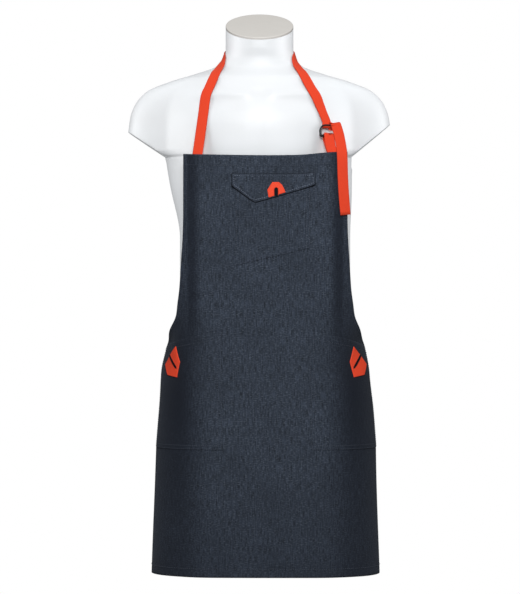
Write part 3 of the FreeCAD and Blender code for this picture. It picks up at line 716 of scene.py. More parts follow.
def sewn_end(across, plies, heights):
    """Frames of a webbing end on the back of the bib."""
    lift = -(CLOTH / 2 + 0.4 + WEB / 2 + (plies - 1) * (WEB + GAP))
    frames = []
    for height in heights:
        point, normal = on_cloth(np.array(float(across)), np.array(float(height)), np.array(lift))
        frames.append((point, normal))
    return frames


def from_frames(name, frames, per_span=5, width=20.0, cup=0.0):
    """Webbing through sparse frames, splined to dense ones; width and cup may be per frame."""
    count = len(frames)
    rows = np.array([np.concatenate([point, normal, [w, c]]) for (point, normal), w, c in
                     zip(frames, np.broadcast_to(width, count), np.broadcast_to(cup, count))])
    dense = spline(rows, per_span)
    return ribbon(name, dense[:, :3], dense[:, 3:6], dense[:, 6], WEB, dense[:, 7])


# clearance of the neck strap from the skin
STRAP_LIFT = 2.6


def neck_webbing():
    """The neck strap and its tail as one webbing: bib, nape, rings and free end."""
    frames = sewn_end(-126, 1, (578, 590, 600))
    start, normal = frames[-1]
    first, first_normal = on_form(*np.array(STRAP_ROUTE[0], float), STRAP_LIFT)
    for part in (0.25, 0.5, 0.75):
        frames.append((start + (first - start) * part,
                       unit(normal * (1 - part) + first_normal * part)))
    for height, degrees in STRAP_ROUTE:
        frames.append(on_form(np.array(float(height)), np.array(float(degrees)), STRAP_LIFT))
    last, last_normal = frames[-1]
    goal = leaning(TURN_ASIDE, TURN_TOP + 8, BETWEEN)
    for part in (0.35, 0.7):
        frames.append((last + (goal - last) * part,
                       unit(last_normal * (1 - part) + LEAN_OUT * part)))
    frames += [(goal, LEAN_OUT), (leaning(TURN_ASIDE, TURN_LOW + 2.5, BETWEEN), LEAN_OUT)]
    narrow_from = len(frames) - 3
    frames += arc_frames(TURN_ASIDE, TURN_ASIDE + 1, TURN_LOW, BETWEEN, BEHIND, 0, -180, 4)
    frames += [(leaning(TURN_ASIDE + 5, TURN_LOW + 2, BEHIND), -LEAN_OUT),
               (leaning(TAIL_ASIDE - 6, TURN_TOP - 0.8, BEHIND), -LEAN_OUT)]
    narrow_to = len(frames)
    frames += arc_frames(TAIL_ASIDE - 4.5, TAIL_ASIDE - 1, TURN_TOP, BEFORE, BEHIND, 180, 0, 6,
                         0.4, math.radians(13))
    frames += [(leaning(TAIL_ASIDE + 3.4, 38, BEFORE + 0.8), LEAN_OUT),
               (leaning(TAIL_ASIDE + 6, 12, BEFORE + 2), LEAN_OUT)]
    for across, height in ((142.5, 592), (143.5, 560), (145.2, 530), (148.6, 490)):
        point, normal = on_cloth(np.array(across), np.array(float(height)), CLOTH / 2 + 2.2)
        frames.append((point, normal))
    width = np.full(len(frames), 20.0)
    width[narrow_from:narrow_to] = 16.5
    width[narrow_from - 1] = 18.5
    cup = np.zeros(len(frames))
    cup[narrow_from + 1:narrow_to] = 0.5
    return from_frames("neck_webbing", frames, 6, width, cup)


def loop_webbing():
    """The short webbing doubled over the two bars, its two ends sewn behind the bib."""
    frames = sewn_end(LOOP_ACROSS, 1, (580, 590, 599))
    frames += [(leaning(LOOP_ASIDE + 1.5, 14, 0), LEAN_OUT),
               (leaning(LOOP_ASIDE, BAR_UP - 2, 0), LEAN_OUT)]
    flatten = abs(BEHIND) / 2 - OVER_BAR
    turn = arc_frames(LOOP_ASIDE, LOOP_ASIDE, BAR_UP, 0, BEHIND, 0, 180, 10)
    frames += [(centre - LEAN_UP * flatten * math.sin(math.pi * i / 10.0), normal)
               for i, (centre, normal) in enumerate(turn)]
    frames += [(leaning(LOOP_ASIDE, BAR_UP - 4, BEHIND), -LEAN_OUT),
               (leaning(LOOP_ASIDE + 2, 14, BEHIND / 2), -LEAN_OUT)]
    frames += [(centre, -normal) for centre, normal in sewn_end(LOOP_ACROSS, 2, (597, 588, 580))]
    return from_frames("loop_webbing", frames, 4, 19.5)


TIE_HEIGHT, KNOT_Y = 193.0, 117.0


def waist_webbing(side, name):
    """From inside the waist corner, round the back of the torso and into the knot."""
    frames = []
    for across in (318, 332, 346):
        lift = -(CLOTH / 2 + 0.5 + WEB / 2)
        frames.append(on_cloth(np.array(float(side * across)), np.array(TIE_HEIGHT),
                               np.array(lift)))
    for degrees, lift in ((-38, 9), (-50, 6), (-62, 5), (-74, 6)):
        turn = degrees if side > 0 else 180 - degrees
        frames.append(on_form(np.array(TIE_HEIGHT), np.array(float(turn)), lift))
    frames.append((np.array([side * 13.0, KNOT_Y - 2, TIE_HEIGHT]), np.array([0.0, 1, 0])))
    frames.append((np.array([side * 7.0, KNOT_Y - 2, TIE_HEIGHT]), np.array([0.0, 1, 0])))
    width = [20.0] * (len(frames) - 3) + [18, 14, 12]
    return from_frames(name, frames, 10, width, [0.0] * (len(frames) - 2) + [0.8, 1.6])


def bow_webbing(side, name):
    """A drooping loop: a flattened teardrop in a plane that leans out of the knot."""
    droop = math.radians(27 if side > 0 else 25)
    out = np.array([side * math.cos(droop), 0, -math.sin(droop)])
    start = np.array([side * 15.0, KNOT_Y + 2, TIE_HEIGHT + 1.5])
    frames = []
    for part in np.linspace(0.02, 0.98, 25):
        turn = 2 * math.pi * part
        along = 80 * (1 - math.cos(turn)) / 2
        deep = 8.5 * math.sin(turn) * (0.3 + 0.7 * along / 80)
        slope = out * 40 * math.sin(turn) + np.array([0, 8.5 * math.cos(turn), 0])
        normal = unit(np.cross(slope, [out[2], 0, -out[0]]))
        frames.append((start + out * along + np.array([0, deep, 0]), normal))
    pinch = np.abs(np.linspace(-1, 1, 25)) ** 3
    return from_frames(name, frames, 5, 20 - 8 * pinch, 1.6 * pinch)


def end_webbing(side, name):
    """A free end that hangs from under the knot with a slow wave in it."""
    top = TIE_HEIGHT - 10.0
    length = 250.0 if side > 0 else 222.0
    y = KNOT_Y + (2.0 if side > 0 else -0.6)
    frames = []
    for part in np.linspace(0, 1, 12):
        x = side * (4.0 + 9.0 * part + 5.0 * part * part)
        wave = 1.6 * math.sin(5.2 * part + side) * part
        turn = 0.22 * math.sin(3.4 * part + 0.6) * side
        frames.append((np.array([x, y + wave, top - length * part]),
                       np.array([math.sin(turn), math.cos(turn), 0.0])))
    width = [12, 18] + [20] * 10
    return from_frames(name, frames, 8, width, [1.4, 0.5] + [0] * 10)


def knot_wrap():
    """Webbing wound once over the middle of the bow: a closed band round an oval core."""
    turn = np.linspace(0, 2 * np.pi, 97)
    deep = 5.4 * np.sign(np.cos(turn)) * np.abs(np.cos(turn)) ** 0.75
    rise = 10.2 * np.sign(np.sin(turn)) * np.abs(np.sin(turn)) ** 0.75
    centre = np.stack([1.2 * np.sin(turn), KNOT_Y + deep, TIE_HEIGHT + rise], -1)
    normal = np.stack([0 * turn, np.cos(turn) / 5.4, np.sin(turn) / 10.2], -1)
    return ribbon("knot_wrap", centre, normal, 17.0, WEB, 1.8)


def knot_core():
    """The crossed webbing inside the knot: an oval block, fourth-power section, pinched
    in the middle and fluted where the layers lie on one another."""
    along = np.linspace(-1, 1, 33)[:, None]
    turn = np.linspace(0, 2 * np.pi, 64, endpoint=False)[None, :]
    size = (1 - along**8) ** 0.25 * (0.86 + 0.12 * along**2)
    flute = 1 + 0.05 * np.cos(turn * 6 + along * 1.5)
    deep = np.sign(np.cos(turn)) * np.abs(np.cos(turn)) ** 0.7 * size * flute
    rise = np.sign(np.sin(turn)) * np.abs(np.sin(turn)) ** 0.7 * size * flute
    points = np.stack([12.6 * along + 0 * turn, KNOT_Y + 5.0 * deep,
                       TIE_HEIGHT + 9.2 * rise], -1)
    uv = np.stack([rise * 9, 12.6 * along + 0 * turn], -1)
    faces = grid_faces(33, 64, wrap=True)
    return mesh_piece("knot_core", points.reshape(-1, 3), faces, uv.reshape(-1, 2))


# ---------------------------------------------------------------- materials
def colour(text):
    """An sRGB hex colour as linear RGBA."""
    parts = np.array([int(text[i:i + 2], 16) for i in (0, 2, 4)]) / 255.0
    linear = np.where(parts <= 0.04045, parts / 12.92, ((parts + 0.055) / 1.055) ** 2.4)
    return (*linear.tolist(), 1.0)


class Shader:
    """A material under construction: node() adds one node with its settings and links."""

    def __init__(self, name):
        self.material = bpy.data.materials.new(name)
        self.material.use_nodes = True
        self.tree = self.material.node_tree
        self.surface = self.tree.nodes["Principled BSDF"]
        self.place = self.tree.nodes.new("ShaderNodeTexCoord")

    def node(self, kind, inputs=(), **settings):
        item = self.tree.nodes.new("ShaderNode" + kind)
        for key, value in settings.items():
            setattr(item, key, value)
        self.link(item, inputs)
        return item

    def link(self, item, inputs):
        for key, value in dict(inputs).items():
            if isinstance(value, bpy.types.NodeSocket):
                self.tree.links.new(value, item.inputs[key])
            else:
                item.inputs[key].default_value = value

    def maths(self, operation, *values):
        return self.node("Math", enumerate(values), operation=operation).outputs[0]

    def mix(self, factor, first, second, blend="MIX"):
        item = self.node("Mix", {0: factor, 6: first, 7: second}, data_type="RGBA",
                         blend_type=blend)
        return item.outputs[2]

    def noise(self, vector, scale, detail=2.0):
        item = self.node("TexNoise", {"Vector": vector, "Scale": scale, "Detail": detail})
        return item.outputs["Fac"]

    def stretched(self, vector, scale):
        return self.node("Mapping", {"Vector": vector, "Scale": scale}).outputs[0]

    def spread(self, value, low, high, first=0.0, second=1.0, ease="LINEAR"):
        item = self.node("MapRange", {0: value, 1: low, 2: high, 3: first, 4: second},
                         interpolation_type=ease)
        return item.outputs[0]

    def bump(self, height, distance, strength=1.0, normal=None):
        inputs = {"Height": height, "Distance": distance, "Strength": strength}
        if normal is not None:
            inputs["Normal"] = normal
        return self.node("Bump", inputs).outputs[0]


def denim():
    """Cotton twill, dark slate blue: pale weft flecks between dark warp yarns, long slubs,
    a fine diagonal rib and a soft nap, so that it reads matt and heathered."""
    made = Shader("denim")
    cloth = made.place.outputs["UV"]
    slub = made.noise(made.stretched(cloth, (480, 60, 1)), 1.0, 4.0)
    weft = made.noise(made.stretched(cloth, (230, 520, 1)), 1.0, 3.0)
    cloud = made.noise(cloth, 14.0, 3.0)
    rib = made.node("TexWave", {
        "Vector": made.node("Mapping", {"Vector": cloth,
                                        "Rotation": (0, 0, math.radians(27))}).outputs[0],
        # the twill's own pitch is 0.9 mm
        "Scale": 0.314 / 0.0009, "Distortion": 0.0}, wave_profile="SIN").outputs["Fac"]
    base = made.mix(made.spread(slub, 0.34, 0.66), colour("1E242D"), colour("3D4655"))
    base = made.mix(made.spread(weft, 0.5, 0.75, 0.0, 0.75), base, colour("5F6976"))
    base = made.mix(made.spread(cloud, 0.35, 0.65, 0.0, 0.3), base, colour("1F252E"))
    base = made.mix(made.spread(rib, 0.0, 1.0, 0.0, 0.22), base, colour("181C24"))
    # painted shade: the cloth is darkened at its sides, on the bib and the skirt, where it turns away from the light
    parts = made.node("SeparateXYZ", {0: cloth}).outputs
    far = made.maths("ABSOLUTE", parts[0])
    bib = made.spread(parts[1], 0.22, 0.36, ease="SMOOTHSTEP")
    bib_side_shade = made.maths("MULTIPLY", made.spread(far, 0.114, 0.136, 0.0, 0.74, "SMOOTHSTEP"),
                          made.spread(far, 0.141, 0.149, 1.0, 0.45, "SMOOTHSTEP"))
    skirt_side_shade = made.maths("MULTIPLY", made.spread(far, 0.092, 0.168, 0.0, 1.0, "SMOOTHSTEP"),
                            made.spread(parts[1], -0.1, 0.16, 0.55, 0.95))
    side = made.node("Mix", {0: bib, 2: skirt_side_shade, 3: bib_side_shade}).outputs[0]
    base = made.mix(side, base, colour("0B111D"))
    # painted shade: darker towards the hem, where the light from above falls off
    base = made.mix(made.spread(parts[1], -0.16, 0.06, 0.28, 0.0), base, colour("0B111D"))
    first = made.bump(rib, 0.00022, 0.7)
    second = made.bump(slub, 0.00035, 0.5, first)
    made.link(made.surface, {"Base Color": base, "Roughness": 0.93, "Normal": second,
                             "Specular IOR Level": 0.25, "Sheen Weight": 0.12,
                             "Sheen Roughness": 0.5, "Sheen Tint": colour("A9B4C6")})
    return made.material


def webbing():
    """Woven polyester-cotton webbing: chevron ribs that meet on the middle line with painted shade in their grooves, a
    firmer selvedge on each side darkened by painted shade, and a little wear in the dye."""
    made = Shader("orange_webbing")
    parts = made.node("SeparateXYZ", {0: made.place.outputs["UV"]}).outputs
    aside = made.maths("ABSOLUTE", parts[0])
    run = made.maths("ADD", parts[1], made.maths("MULTIPLY", aside, 0.8))
    rib = made.maths("SINE", made.maths("MULTIPLY", run, 2 * math.pi / 0.0022))
    yarn = made.maths("SINE", made.maths("MULTIPLY", parts[0], 2 * math.pi / 0.0012))
    weave = made.maths("ADD", rib, made.maths("MULTIPLY", yarn, 0.6))
    wear = made.noise(made.stretched(made.place.outputs["UV"], (1, 0.35, 1)), 160.0, 3.0)
    # painted shade: the colour is darker in the grooves between the ribs
    base = made.mix(made.spread(weave, -1.6, 1.6), colour("D0330F"), colour("FB4A24"))
    base = made.mix(made.spread(wear, 0.3, 0.75, 0.0, 0.35), base, colour("DC3E1C"))
    # painted shade: darker along the rounded selvedges
    edge = made.spread(aside, 0.0088, 0.0098, 0.0, 0.45)
    base = made.mix(edge, base, colour("B42A10"))
    made.link(made.surface, {"Base Color": base, "Roughness": 0.78,
                             "Normal": made.bump(weave, 0.00016, 0.8),
                             "Specular IOR Level": 0.35, "Sheen Weight": 0.1,
                             "Sheen Tint": colour("FFB9A0")})
    return made.material


def patch_cloth():
    """Close plain-woven synthetic cloth in the webbing's orange, with a faint grid."""
    made = Shader("orange_cloth")
    parts = made.node("SeparateXYZ", {0: made.place.outputs["UV"]}).outputs
    # the yarns are 0.5 mm apart and drawn at twice that
    grid = [made.maths("SINE", made.maths("MULTIPLY", part, 2 * math.pi / 0.001))
            for part in parts[:2]]
    weave = made.maths("MULTIPLY", *grid)
    wear = made.noise(made.place.outputs["UV"], 90.0, 3.0)
    base = made.mix(made.spread(weave, -1, 1), colour("E23A16"), colour("FF5636"))
    base = made.mix(made.spread(wear, 0.3, 0.7, 0.0, 0.3), base, colour("E2472A"))
    made.link(made.surface, {"Base Color": base, "Roughness": 0.7,
                             "Normal": made.bump(weave, 0.0001, 0.6),
                             "Specular IOR Level": 0.3})
    return made.material


def plain(name, tone, roughness, grain=0.0, scale=300.0, metallic=0.0, specular=0.5,
          mottle=0.04):
    """Moulded plastic, coated metal or thread: one tone, slightly mottled, with a fine
    grain in its surface and in its gloss."""
    made = Shader(name)
    spot = made.place.outputs["Object"]
    cloud = made.noise(spot, scale / 12, 2.0)
    fine = made.noise(spot, scale, 2.0)
    base = made.mix(made.spread(cloud, 0.3, 0.7, 0.0, mottle), colour(tone), (0, 0, 0, 1))
    made.link(made.surface, {
        "Base Color": base, "Metallic": metallic, "Specular IOR Level": specular,
        "Roughness": made.spread(fine, 0.3, 0.7, roughness * 0.92, min(1, roughness * 1.08)),
        "Normal": made.bump(fine, grain * MM)})
    return made.material


def turned_steel():
    """Zinc-plated steel: fine rings of turning round the vertical axis."""
    made = Shader("plated_steel")
    spot = made.place.outputs["Object"]
    streak = made.noise(made.stretched(spot, (30, 30, 2500)), 1.0, 2.0)
    base = made.mix(made.spread(streak, 0.3, 0.7), colour("9EA2A6"), colour("B9BDC0"))
    made.link(made.surface, {"Base Color": base, "Metallic": 1.0,
                             "Roughness": made.spread(streak, 0.3, 0.7, 0.28, 0.42),
                             "Normal": made.bump(streak, 0.00005)})
    return made.material


def frosted():
    """Satin white moulded shell of the torso: warm white, soft gloss, a hardly visible
    unevenness from the mould."""
    made = Shader("torso_white")
    spot = made.place.outputs["Object"]
    cloud = made.noise(spot, 5.0, 2.0)
    grain = made.noise(spot, 260.0, 2.0)
    base = made.mix(made.spread(cloud, 0.3, 0.7), colour("CACDD0"), colour("C4C6C8"))
    made.link(made.surface, {"Base Color": base, "Specular IOR Level": 0.4,
                             "Roughness": made.spread(grain, 0.3, 0.7, 0.38, 0.5),
                             "Normal": made.bump(grain, 0.00004)})
    return made.material


# ---------------------------------------------------------------- sewn pieces
CHEST_POCKET = [(397, -55, -54), (429, -55, 83), (556, -55, 83)]
CHEST_FLAP = [(514.5, -18.5, -17.5), (520, -28.5, 2.5), (544, -60, 86), (546.5, -61, 91),
              (567, -61, 91)]
FLAP_PATCH = [(523.5, 6, 8), (532.5, 4.5, 37), (537.5, 3.8, 35.5), (546.5, 9.5, 31),
              (551.8, 13, 25)]
HIP_POCKET = [(58, 80, 238), (246, 80, 238), (277, 80, 82)]
HIP_PATCH = [(190.5, 167.5, 168.5), (194, 167, 198), (213, 161.7, 212), (219, 160, 206),
             (231, 165.1, 194), (247, 171.5, 172.5)]


def mirrored(rows):
    return [(height, -right, -left) for height, left, right in rows]


def outline(rows, inset, shut=True):
    """The corners' polygon pulled inward by an inset, as (across, height) points."""
    rows = np.array(rows, float)
    ring = np.vstack([rows[:, [2, 0]], rows[::-1][:, [1, 0]]])
    keep = np.linalg.norm(ring - np.roll(ring, 1, axis=0), axis=1) > 2.5
    ring = ring[keep]
    before, after = ring - np.roll(ring, 1, axis=0), np.roll(ring, -1, axis=0) - ring
    first = unit(np.stack([-before[:, 1], before[:, 0]], -1))
    second = unit(np.stack([-after[:, 1], after[:, 0]], -1))
    share = first + second
    ring = ring + share * (inset / np.maximum(0.35, (share * first).sum(-1)))[:, None]
    return np.vstack([ring, ring[:1]]) if shut else ring


def straight(first, last, count=40):
    part = np.linspace(0, 1, count)[:, None]
    return np.array(first, float) * (1 - part) + np.array(last, float) * part


def divided(line, count=24):
    """Straight runs of a polygon cut finely, so that a seam follows the curved cloth."""
    return np.vstack([straight(a, b, count) for a, b in zip(line[:-1], line[1:])])


def lift_of(layer, thickness=1.1, puff=0.0):
    return CLOTH / 2 + 0.5 + layer * 1.9 + thickness + puff


def slit(name, mouth, end, half, lift, body=ROOT):
    """A plain webbing slot, open at its mouth: a dark sheet of painted shade stands for the cloth that shows in it, in
    a rim of stitches set across the edge. Half width at t along it: half * sqrt(1 - t^8)."""
    mouth, end = np.array(mouth, float), np.array(end, float)
    direction = unit(end - mouth)
    side = np.array([-direction[1], direction[0]])
    t = np.linspace(0, 1, 30)
    middle = mouth + (end - mouth) * t[:, None]
    reach = half * np.sqrt(1 - t ** 8)[:, None, None]
    spot = middle[:, None, :] + side * np.linspace(-1, 1, 9)[None, :, None] * reach
    points, _ = on_cloth(spot[..., 0], spot[..., 1], lift + 0.15)
    # painted shade: a dark sheet just above the cloth fills the slot
    gap = finish_mesh(grid_piece(name + "_gap", points, spot), 0.3)
    wider = middle[:, None, :] + side * np.array([-1.0, 1.0])[None, :, None] * (reach + 0.55)
    rim = np.vstack([wider[:, 0], [end + direction * 0.5], wider[::-1, 1]])
    run = np.concatenate([[0], np.cumsum(np.linalg.norm(np.diff(rim, axis=0), axis=1))])
    at = np.arange(0.4, run[-1], 0.75)
    spot = np.stack([np.interp(at, run, rim[:, k]) for k in (0, 1)], -1)
    ahead = np.stack([np.interp(at + 0.1, run, rim[:, k]) for k in (0, 1)], -1) - spot
    across = unit(np.stack([-ahead[:, 1], ahead[:, 0]], -1))
    here, normal = on_cloth(spot[:, 0], spot[:, 1], lift + 0.1)
    there, _ = on_cloth(spot[:, 0] + across[:, 0], spot[:, 1] + across[:, 1], lift + 0.1)
    thread = beads(name + "_thread", here, unit(there - here), normal, 1.3, 0.6)
    dress(thread, ORANGE_THREAD, "orange_cloth", body)
    return dress(gap, SHADOW_CLOTH, "denim", body)


# ---------------------------------------------------------------- building
DENIM, WEBBING, PATCH = denim(), webbing(), patch_cloth()
WHITE = frosted()
# polyester sewing thread, tone on tone with the cloth it holds
BLUE_THREAD = plain("slate_thread", "434B59", 0.6, 0.02, 1500.0)
FLAP_THREAD = plain("flap_thread", "7E889A", 0.6, 0.02, 1500.0)
ORANGE_THREAD = plain("orange_thread", "E04A2A", 0.6, 0.02, 1500.0)
# painted shade: a dark cloth for the unlit inside of a buttonhole and for the shade under the pocket flap
SHADOW_CLOTH = plain("dark_inside", "14161B", 0.95, 0.02, 900.0, specular=0.1)
# matt moulded cap, warm pale grey; slightly rough so that it looks flat
CAP_GREY = plain("cap_grey", "CFCCC7", 0.55, 0.02, 500.0, mottle=0.02)
PLATE_GREY = plain("plate_grey", "C9C9C7", 0.5, 0.02, 400.0)
# black powder coat: dark, half gloss, a fine orange peel
RING_BLACK = plain("ring_black", "17171A", 0.34, 0.03, 700.0)
SOCKET_COAT = plain("socket_coat", "8D9093", 0.42, 0.03, 600.0)
STEEL = turned_steel()

dress(torso(), WHITE, "form_white", nodes=["torso_shell"])
dress(neck_plate(), CAP_GREY, "cap_grey", nodes=["neck_cap"])
for node, material, slot_name in (("base_plate", PLATE_GREY, "plate_grey"),
                                  ("stand_socket", SOCKET_COAT, "socket_steel"),
                                  ("socket_screws", STEEL, "screw_steel"),
                                  ("ring_front", RING_BLACK, "ring_black"),
                                  ("ring_back", RING_BLACK, "ring_black")):
    piece = frame["nodes"][node]
    piece.data.materials.clear()
    piece.data.materials.append(material)
    for face in piece.data.polygons:
        face.use_smooth = True

front = dress(panel(), DENIM, "denim", nodes=["apron_panel"])
hem_pieces = []
top_line = np.stack([np.linspace(-BIB_HALF + 1, BIB_HALF - 1, 60), np.full(60, BIB_TOP)], -1)
hem_line = np.stack([np.linspace(-SKIRT_HALF + 1, SKIRT_HALF - 1, 130), np.full(130, HEM)], -1)
side_line = np.stack([np.full(60, SKIRT_HALF), np.linspace(WAIST, HEM, 60)], -1)
arm_line = along_edge(BIB_TOP, WAIST + 1, 0.0, 130)
flip = np.array([-1.0, 1.0])
for name, line, wide in (("hem_top", top_line[::-1], 22), ("hem_bottom", hem_line, 18),
                         ("hem_arm_right", arm_line[::-1], 9),
                         ("hem_arm_left", (arm_line * flip), 9),
                         ("hem_side_right", side_line[::-1], 10),
                         ("hem_side_left", (side_line * flip), 10)):
    hem_pieces.append(dress(inner_hem(name, line, wide), DENIM, "denim"))

pocket = dress(sewn("chest_pocket_cloth", CHEST_POCKET, 0.9, 0.9, 60, 60, puff=0.6),
               DENIM, "denim", nodes=["chest_pocket"])
flap = dress(sewn("pocket_flap_cloth", CHEST_FLAP, 3.4, 1.6, 44, 90, puff=0.5, round_over=2.2),
             DENIM, "denim", "pocket_flap", ["chest_pocket_flap"])
# the flap's facing, a real second layer, coloured as painted shadow so that it shows as a dark line round its edges
flap_shadow_rows = [(height - 1.0, low - 1.1, high + 1.3) for height, low, high in CHEST_FLAP[:-1]]
flap_shadow_rows.append((CHEST_FLAP[-1][0] + 0.8, CHEST_FLAP[-1][1] - 0.8, CHEST_FLAP[-1][2] + 0.8))
facing = dress(sewn("flap_facing_shadow", flap_shadow_rows, 2.6, 0.5, 40, 60), SHADOW_CLOTH, "denim",
               "pocket_flap")
badge = dress(sewn("flap_patch_cloth", FLAP_PATCH, 5.7, 0.9, 34, 34), PATCH, "orange_cloth",
              "pocket_flap", ["flap_patch"])
# how far stitches lie above the cloth under them
HEM_SEAM, POCKET_SEAM = CLOTH + 0.1, 0.85
seams = [(top_line * [0.985, 1] - [0, 20], HEM_SEAM), (hem_line * [0.985, 1] + [0, 16], HEM_SEAM)]
for sign in (-1, 1):
    seams.append((along_edge(BIB_TOP - 3, WAIST + 3, 7.5, 260) * [sign, 1], HEM_SEAM))
    seams.append((side_line * [sign, 1] - [sign * 8, 0], HEM_SEAM))
for inset in (2.0, 7.5):
    row = outline(CHEST_POCKET, inset)
    seams.append((divided(row[:4] if len(row) > 4 else row), lift_of(0, POCKET_SEAM)))
hips = []
for side, sign in (("right", 1), ("left", -1)):
    rows = HIP_POCKET if sign > 0 else mirrored(HIP_POCKET)
    patch_rows = HIP_PATCH if sign > 0 else mirrored(HIP_PATCH)
    hips.append(dress(sewn("hip_pocket_cloth_" + side, rows, 0.9, 0.9, 80, 60, puff=0.9),
                      DENIM, "denim", nodes=["hip_pocket_" + side]))
    hips.append(dress(sewn("hip_patch_cloth_" + side, patch_rows, 3.1, 1.0, 50, 50), PATCH,
                      "orange_cloth", nodes=["hip_patch_" + side]))
    for inset in (2.0, 8.0):
        inner, outer, low = sign * (80 + inset), sign * (238 - inset), 58 + inset
        corners = [(inner, 272), (inner, low), (outer, low), (outer, 244)]
        for first, last in zip(corners, corners[1:]):
            seams.append((straight(first, last, 60), lift_of(0, POCKET_SEAM)))
    seams.append((straight((sign * 86, 262), (sign * 234, 233.5), 60), lift_of(0, 1.8)))
    hips.append(slit("hip_slit_" + side, (sign * 194, 230.5), (sign * 168, 206.5), 2.6, 4.1))
thread = dress(stitches("seam_thread", seams), BLUE_THREAD, "denim")
flap_seams = [(divided(straight((-57, 563.5), (87.5, 563.5), 2)), lift_of(1, 2.0))]
edge = np.array([(-57.5, 560), (-57.5, 547), (-27, 522.5), (-18, 519), (1, 523.5), (85, 547.5),
                 (87.5, 549.5), (87.5, 560)], float)
flap_seams.append((divided(edge), lift_of(1, 2.2)))
flap_thread = dress(stitches("flap_thread", flap_seams, 2.9, 1.1, 0.7), FLAP_THREAD, "denim",
                    "pocket_flap")
badge_thread = dress(stitches("badge_thread", [(divided(outline(FLAP_PATCH, 1.6)), 6.65)],
                              1.8, 0.7, 0.45), ORANGE_THREAD, "orange_cloth", "pocket_flap")
patch_lines = [(divided(outline(rows, 2.0)), 4.15) for rows in (HIP_PATCH, mirrored(HIP_PATCH))]
patch_thread = dress(stitches("patch_thread", patch_lines, 2.2, 0.8, 0.5), ORANGE_THREAD,
                     "orange_cloth")
badge_slot_shade = slit("badge_slit", (20.0, 526.8), (20.0, 542), 3.4, 6.6, "pocket_flap")

strap = neck_webbing()
strap.data.materials.append(WEBBING)
fold = leaning(TAIL_ASIDE, TURN_TOP + 2.3, (BEFORE + BEHIND) / 2 - 0.5)
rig.blend(strap, ROOT, "free_tail", start=tuple(fold * MM),
         end=tuple((fold + LEAN_OUT * 7.1 - LEAN_UP * 2) * MM))
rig.slot(strap, "orange_webbing")
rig.replaces(strap, "neck_strap", "strap_tail")
loop = dress(loop_webbing(), WEBBING, "orange_webbing", nodes=["ring_loop"])
webs = [(strap, 20.0), (loop, 19.5)]
for side, sign in (("right", 1), ("left", -1)):
    for make, name, body, node, wide in (
            (waist_webbing, "waist_webbing_", ROOT, "waist_tie_", 20.0),
            (bow_webbing, "bow_webbing_", side + "_bow", "bow_loop_", 18.0),
            (end_webbing, "end_webbing_", "tie_ends", "tie_end_", 19.5)):
        webs.append((dress(make(sign, name + side), WEBBING, "orange_webbing", body,
                           [node + side]), wide))
wrap = dress(knot_wrap(), WEBBING, "orange_webbing")
dress(knot_core(), WEBBING, "orange_webbing", nodes=["waist_knot"])

# ---------------------------------------------------------------- what each cloth was cut to
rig.sheet(front, flat=(0.700, 0.778), held="hung", rests_on=["torso_skin", "neck_webbing"],
         area=0.408, with_pieces=hem_pieces + [thread])
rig.sheet(pocket, flat=(0.138, 0.159), held="hung", rests_on=["denim_panel"], area=0.0197)
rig.sheet(flap, flat=(0.152, 0.0525), held="hung", rests_on=["denim_panel"], area=0.0055,
         with_pieces=[flap_thread, facing])
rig.sheet(badge, flat=(0.033, 0.0275), held="hung", rests_on=["pocket_flap_cloth"],
         area=0.00063, with_pieces=[badge_thread, badge_slot_shade])
for item in hips:
    if item.name.startswith("hip_pocket"):
        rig.sheet(item, flat=(0.158, 0.219), held="hung", rests_on=["denim_panel"], area=0.0322)
    elif item.name.startswith("hip_patch"):
        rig.sheet(item, flat=(0.054, 0.0565), held="hung", rests_on=[item.name.replace(
            "patch", "pocket")], area=0.00165)
for item, wide in webs:
    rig.sheet(item, flat=(wide * MM, item["length_mm"] * MM), held="hung",
             rests_on=["torso_skin"])
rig.sheet(wrap, flat=(0.017, wrap["length_mm"] * MM), held="folded", rests_on=["knot_core"])

# ---------------------------------------------------------------- floor, light and camera
bpy.ops.mesh.primitive_plane_add(size=4, location=(0, 0, -0.9))
floor = bpy.context.object
floor.name = "floor"
floor.data.materials.append(plain("floor_white", "F2F2F2", 0.8, 0.0, 20.0, mottle=0.0))
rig.stage(floor)

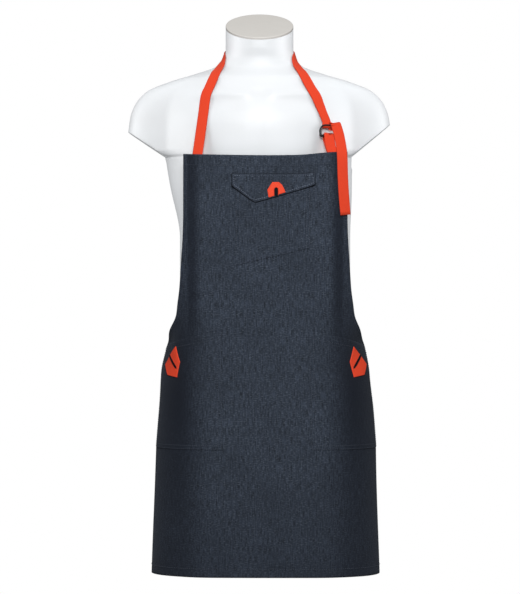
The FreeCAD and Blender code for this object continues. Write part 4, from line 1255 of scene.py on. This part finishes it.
scene = bpy.context.scene
world = bpy.data.worlds.new("studio")
scene.world = world
world.use_nodes = True
tree = world.node_tree
ray = tree.nodes.new("ShaderNodeLightPath")
tone = tree.nodes.new("ShaderNodeMapRange")
tone.inputs["To Min"].default_value = 0.2
tone.inputs["To Max"].default_value = 1.0
tree.links.new(ray.outputs["Is Camera Ray"], tone.inputs["Value"])
tree.links.new(tone.outputs[0], tree.nodes["Background"].inputs["Strength"])
tree.nodes["Background"].inputs["Color"].default_value = (1, 1, 1, 1)


def lamp(name, place, aim, power, size):
    """A square soft box at a place, turned to its aim."""
    data = bpy.data.lights.new(name, "AREA")
    data.energy, data.size = power, size
    item = bpy.data.objects.new(name, data)
    scene.collection.objects.link(item)
    item.location = place
    direction = np.array(aim, float) - np.array(place, float)
    yaw = math.atan2(direction[1], direction[0])
    pitch = math.acos(direction[2] / np.linalg.norm(direction))
    item.rotation_euler = (math.pi - pitch, 0, yaw + math.pi / 2 + math.pi)
    return item


lamp("key", (0.06, -2.35, 1.8), (0, 0, 0.35), 56, 0.9)
lamp("top", (0.1, -0.9, 2.4), (0, 0, 0.5), 9, 1.2)
# two side boxes for the white torso only, as its glow in a white studio
torso_only = bpy.data.collections.new("torso_only")
scene.collection.children.link(torso_only)
torso_only.objects.link(bpy.data.objects["torso_skin"])
for name, place in (("left_box", (-2.6, -0.6, 0.9)), ("right_box", (2.6, -0.6, 0.9))):
    lamp(name, place, (0, 0, 0.6), 50, 1.6).light_linking.receiver_collection = torso_only

camera = bpy.data.cameras.new("camera")
camera.lens, camera.sensor_width = 132.1, 36
camera_object = bpy.data.objects.new("camera", camera)
camera_object.location = (-0.0096, -4.125, 0.339)
camera_object.rotation_euler = (math.pi / 2, 0, 0)
scene.collection.objects.link(camera_object)
scene.camera = camera_object
scene.view_settings.view_transform = "Standard"

with open("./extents.json", "w") as out:
    json.dump({"cad": [list(map(float, corner)) for corner in CAD_BOX],
               "scene": [list(map(float, corner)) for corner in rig.bounds()]}, out)
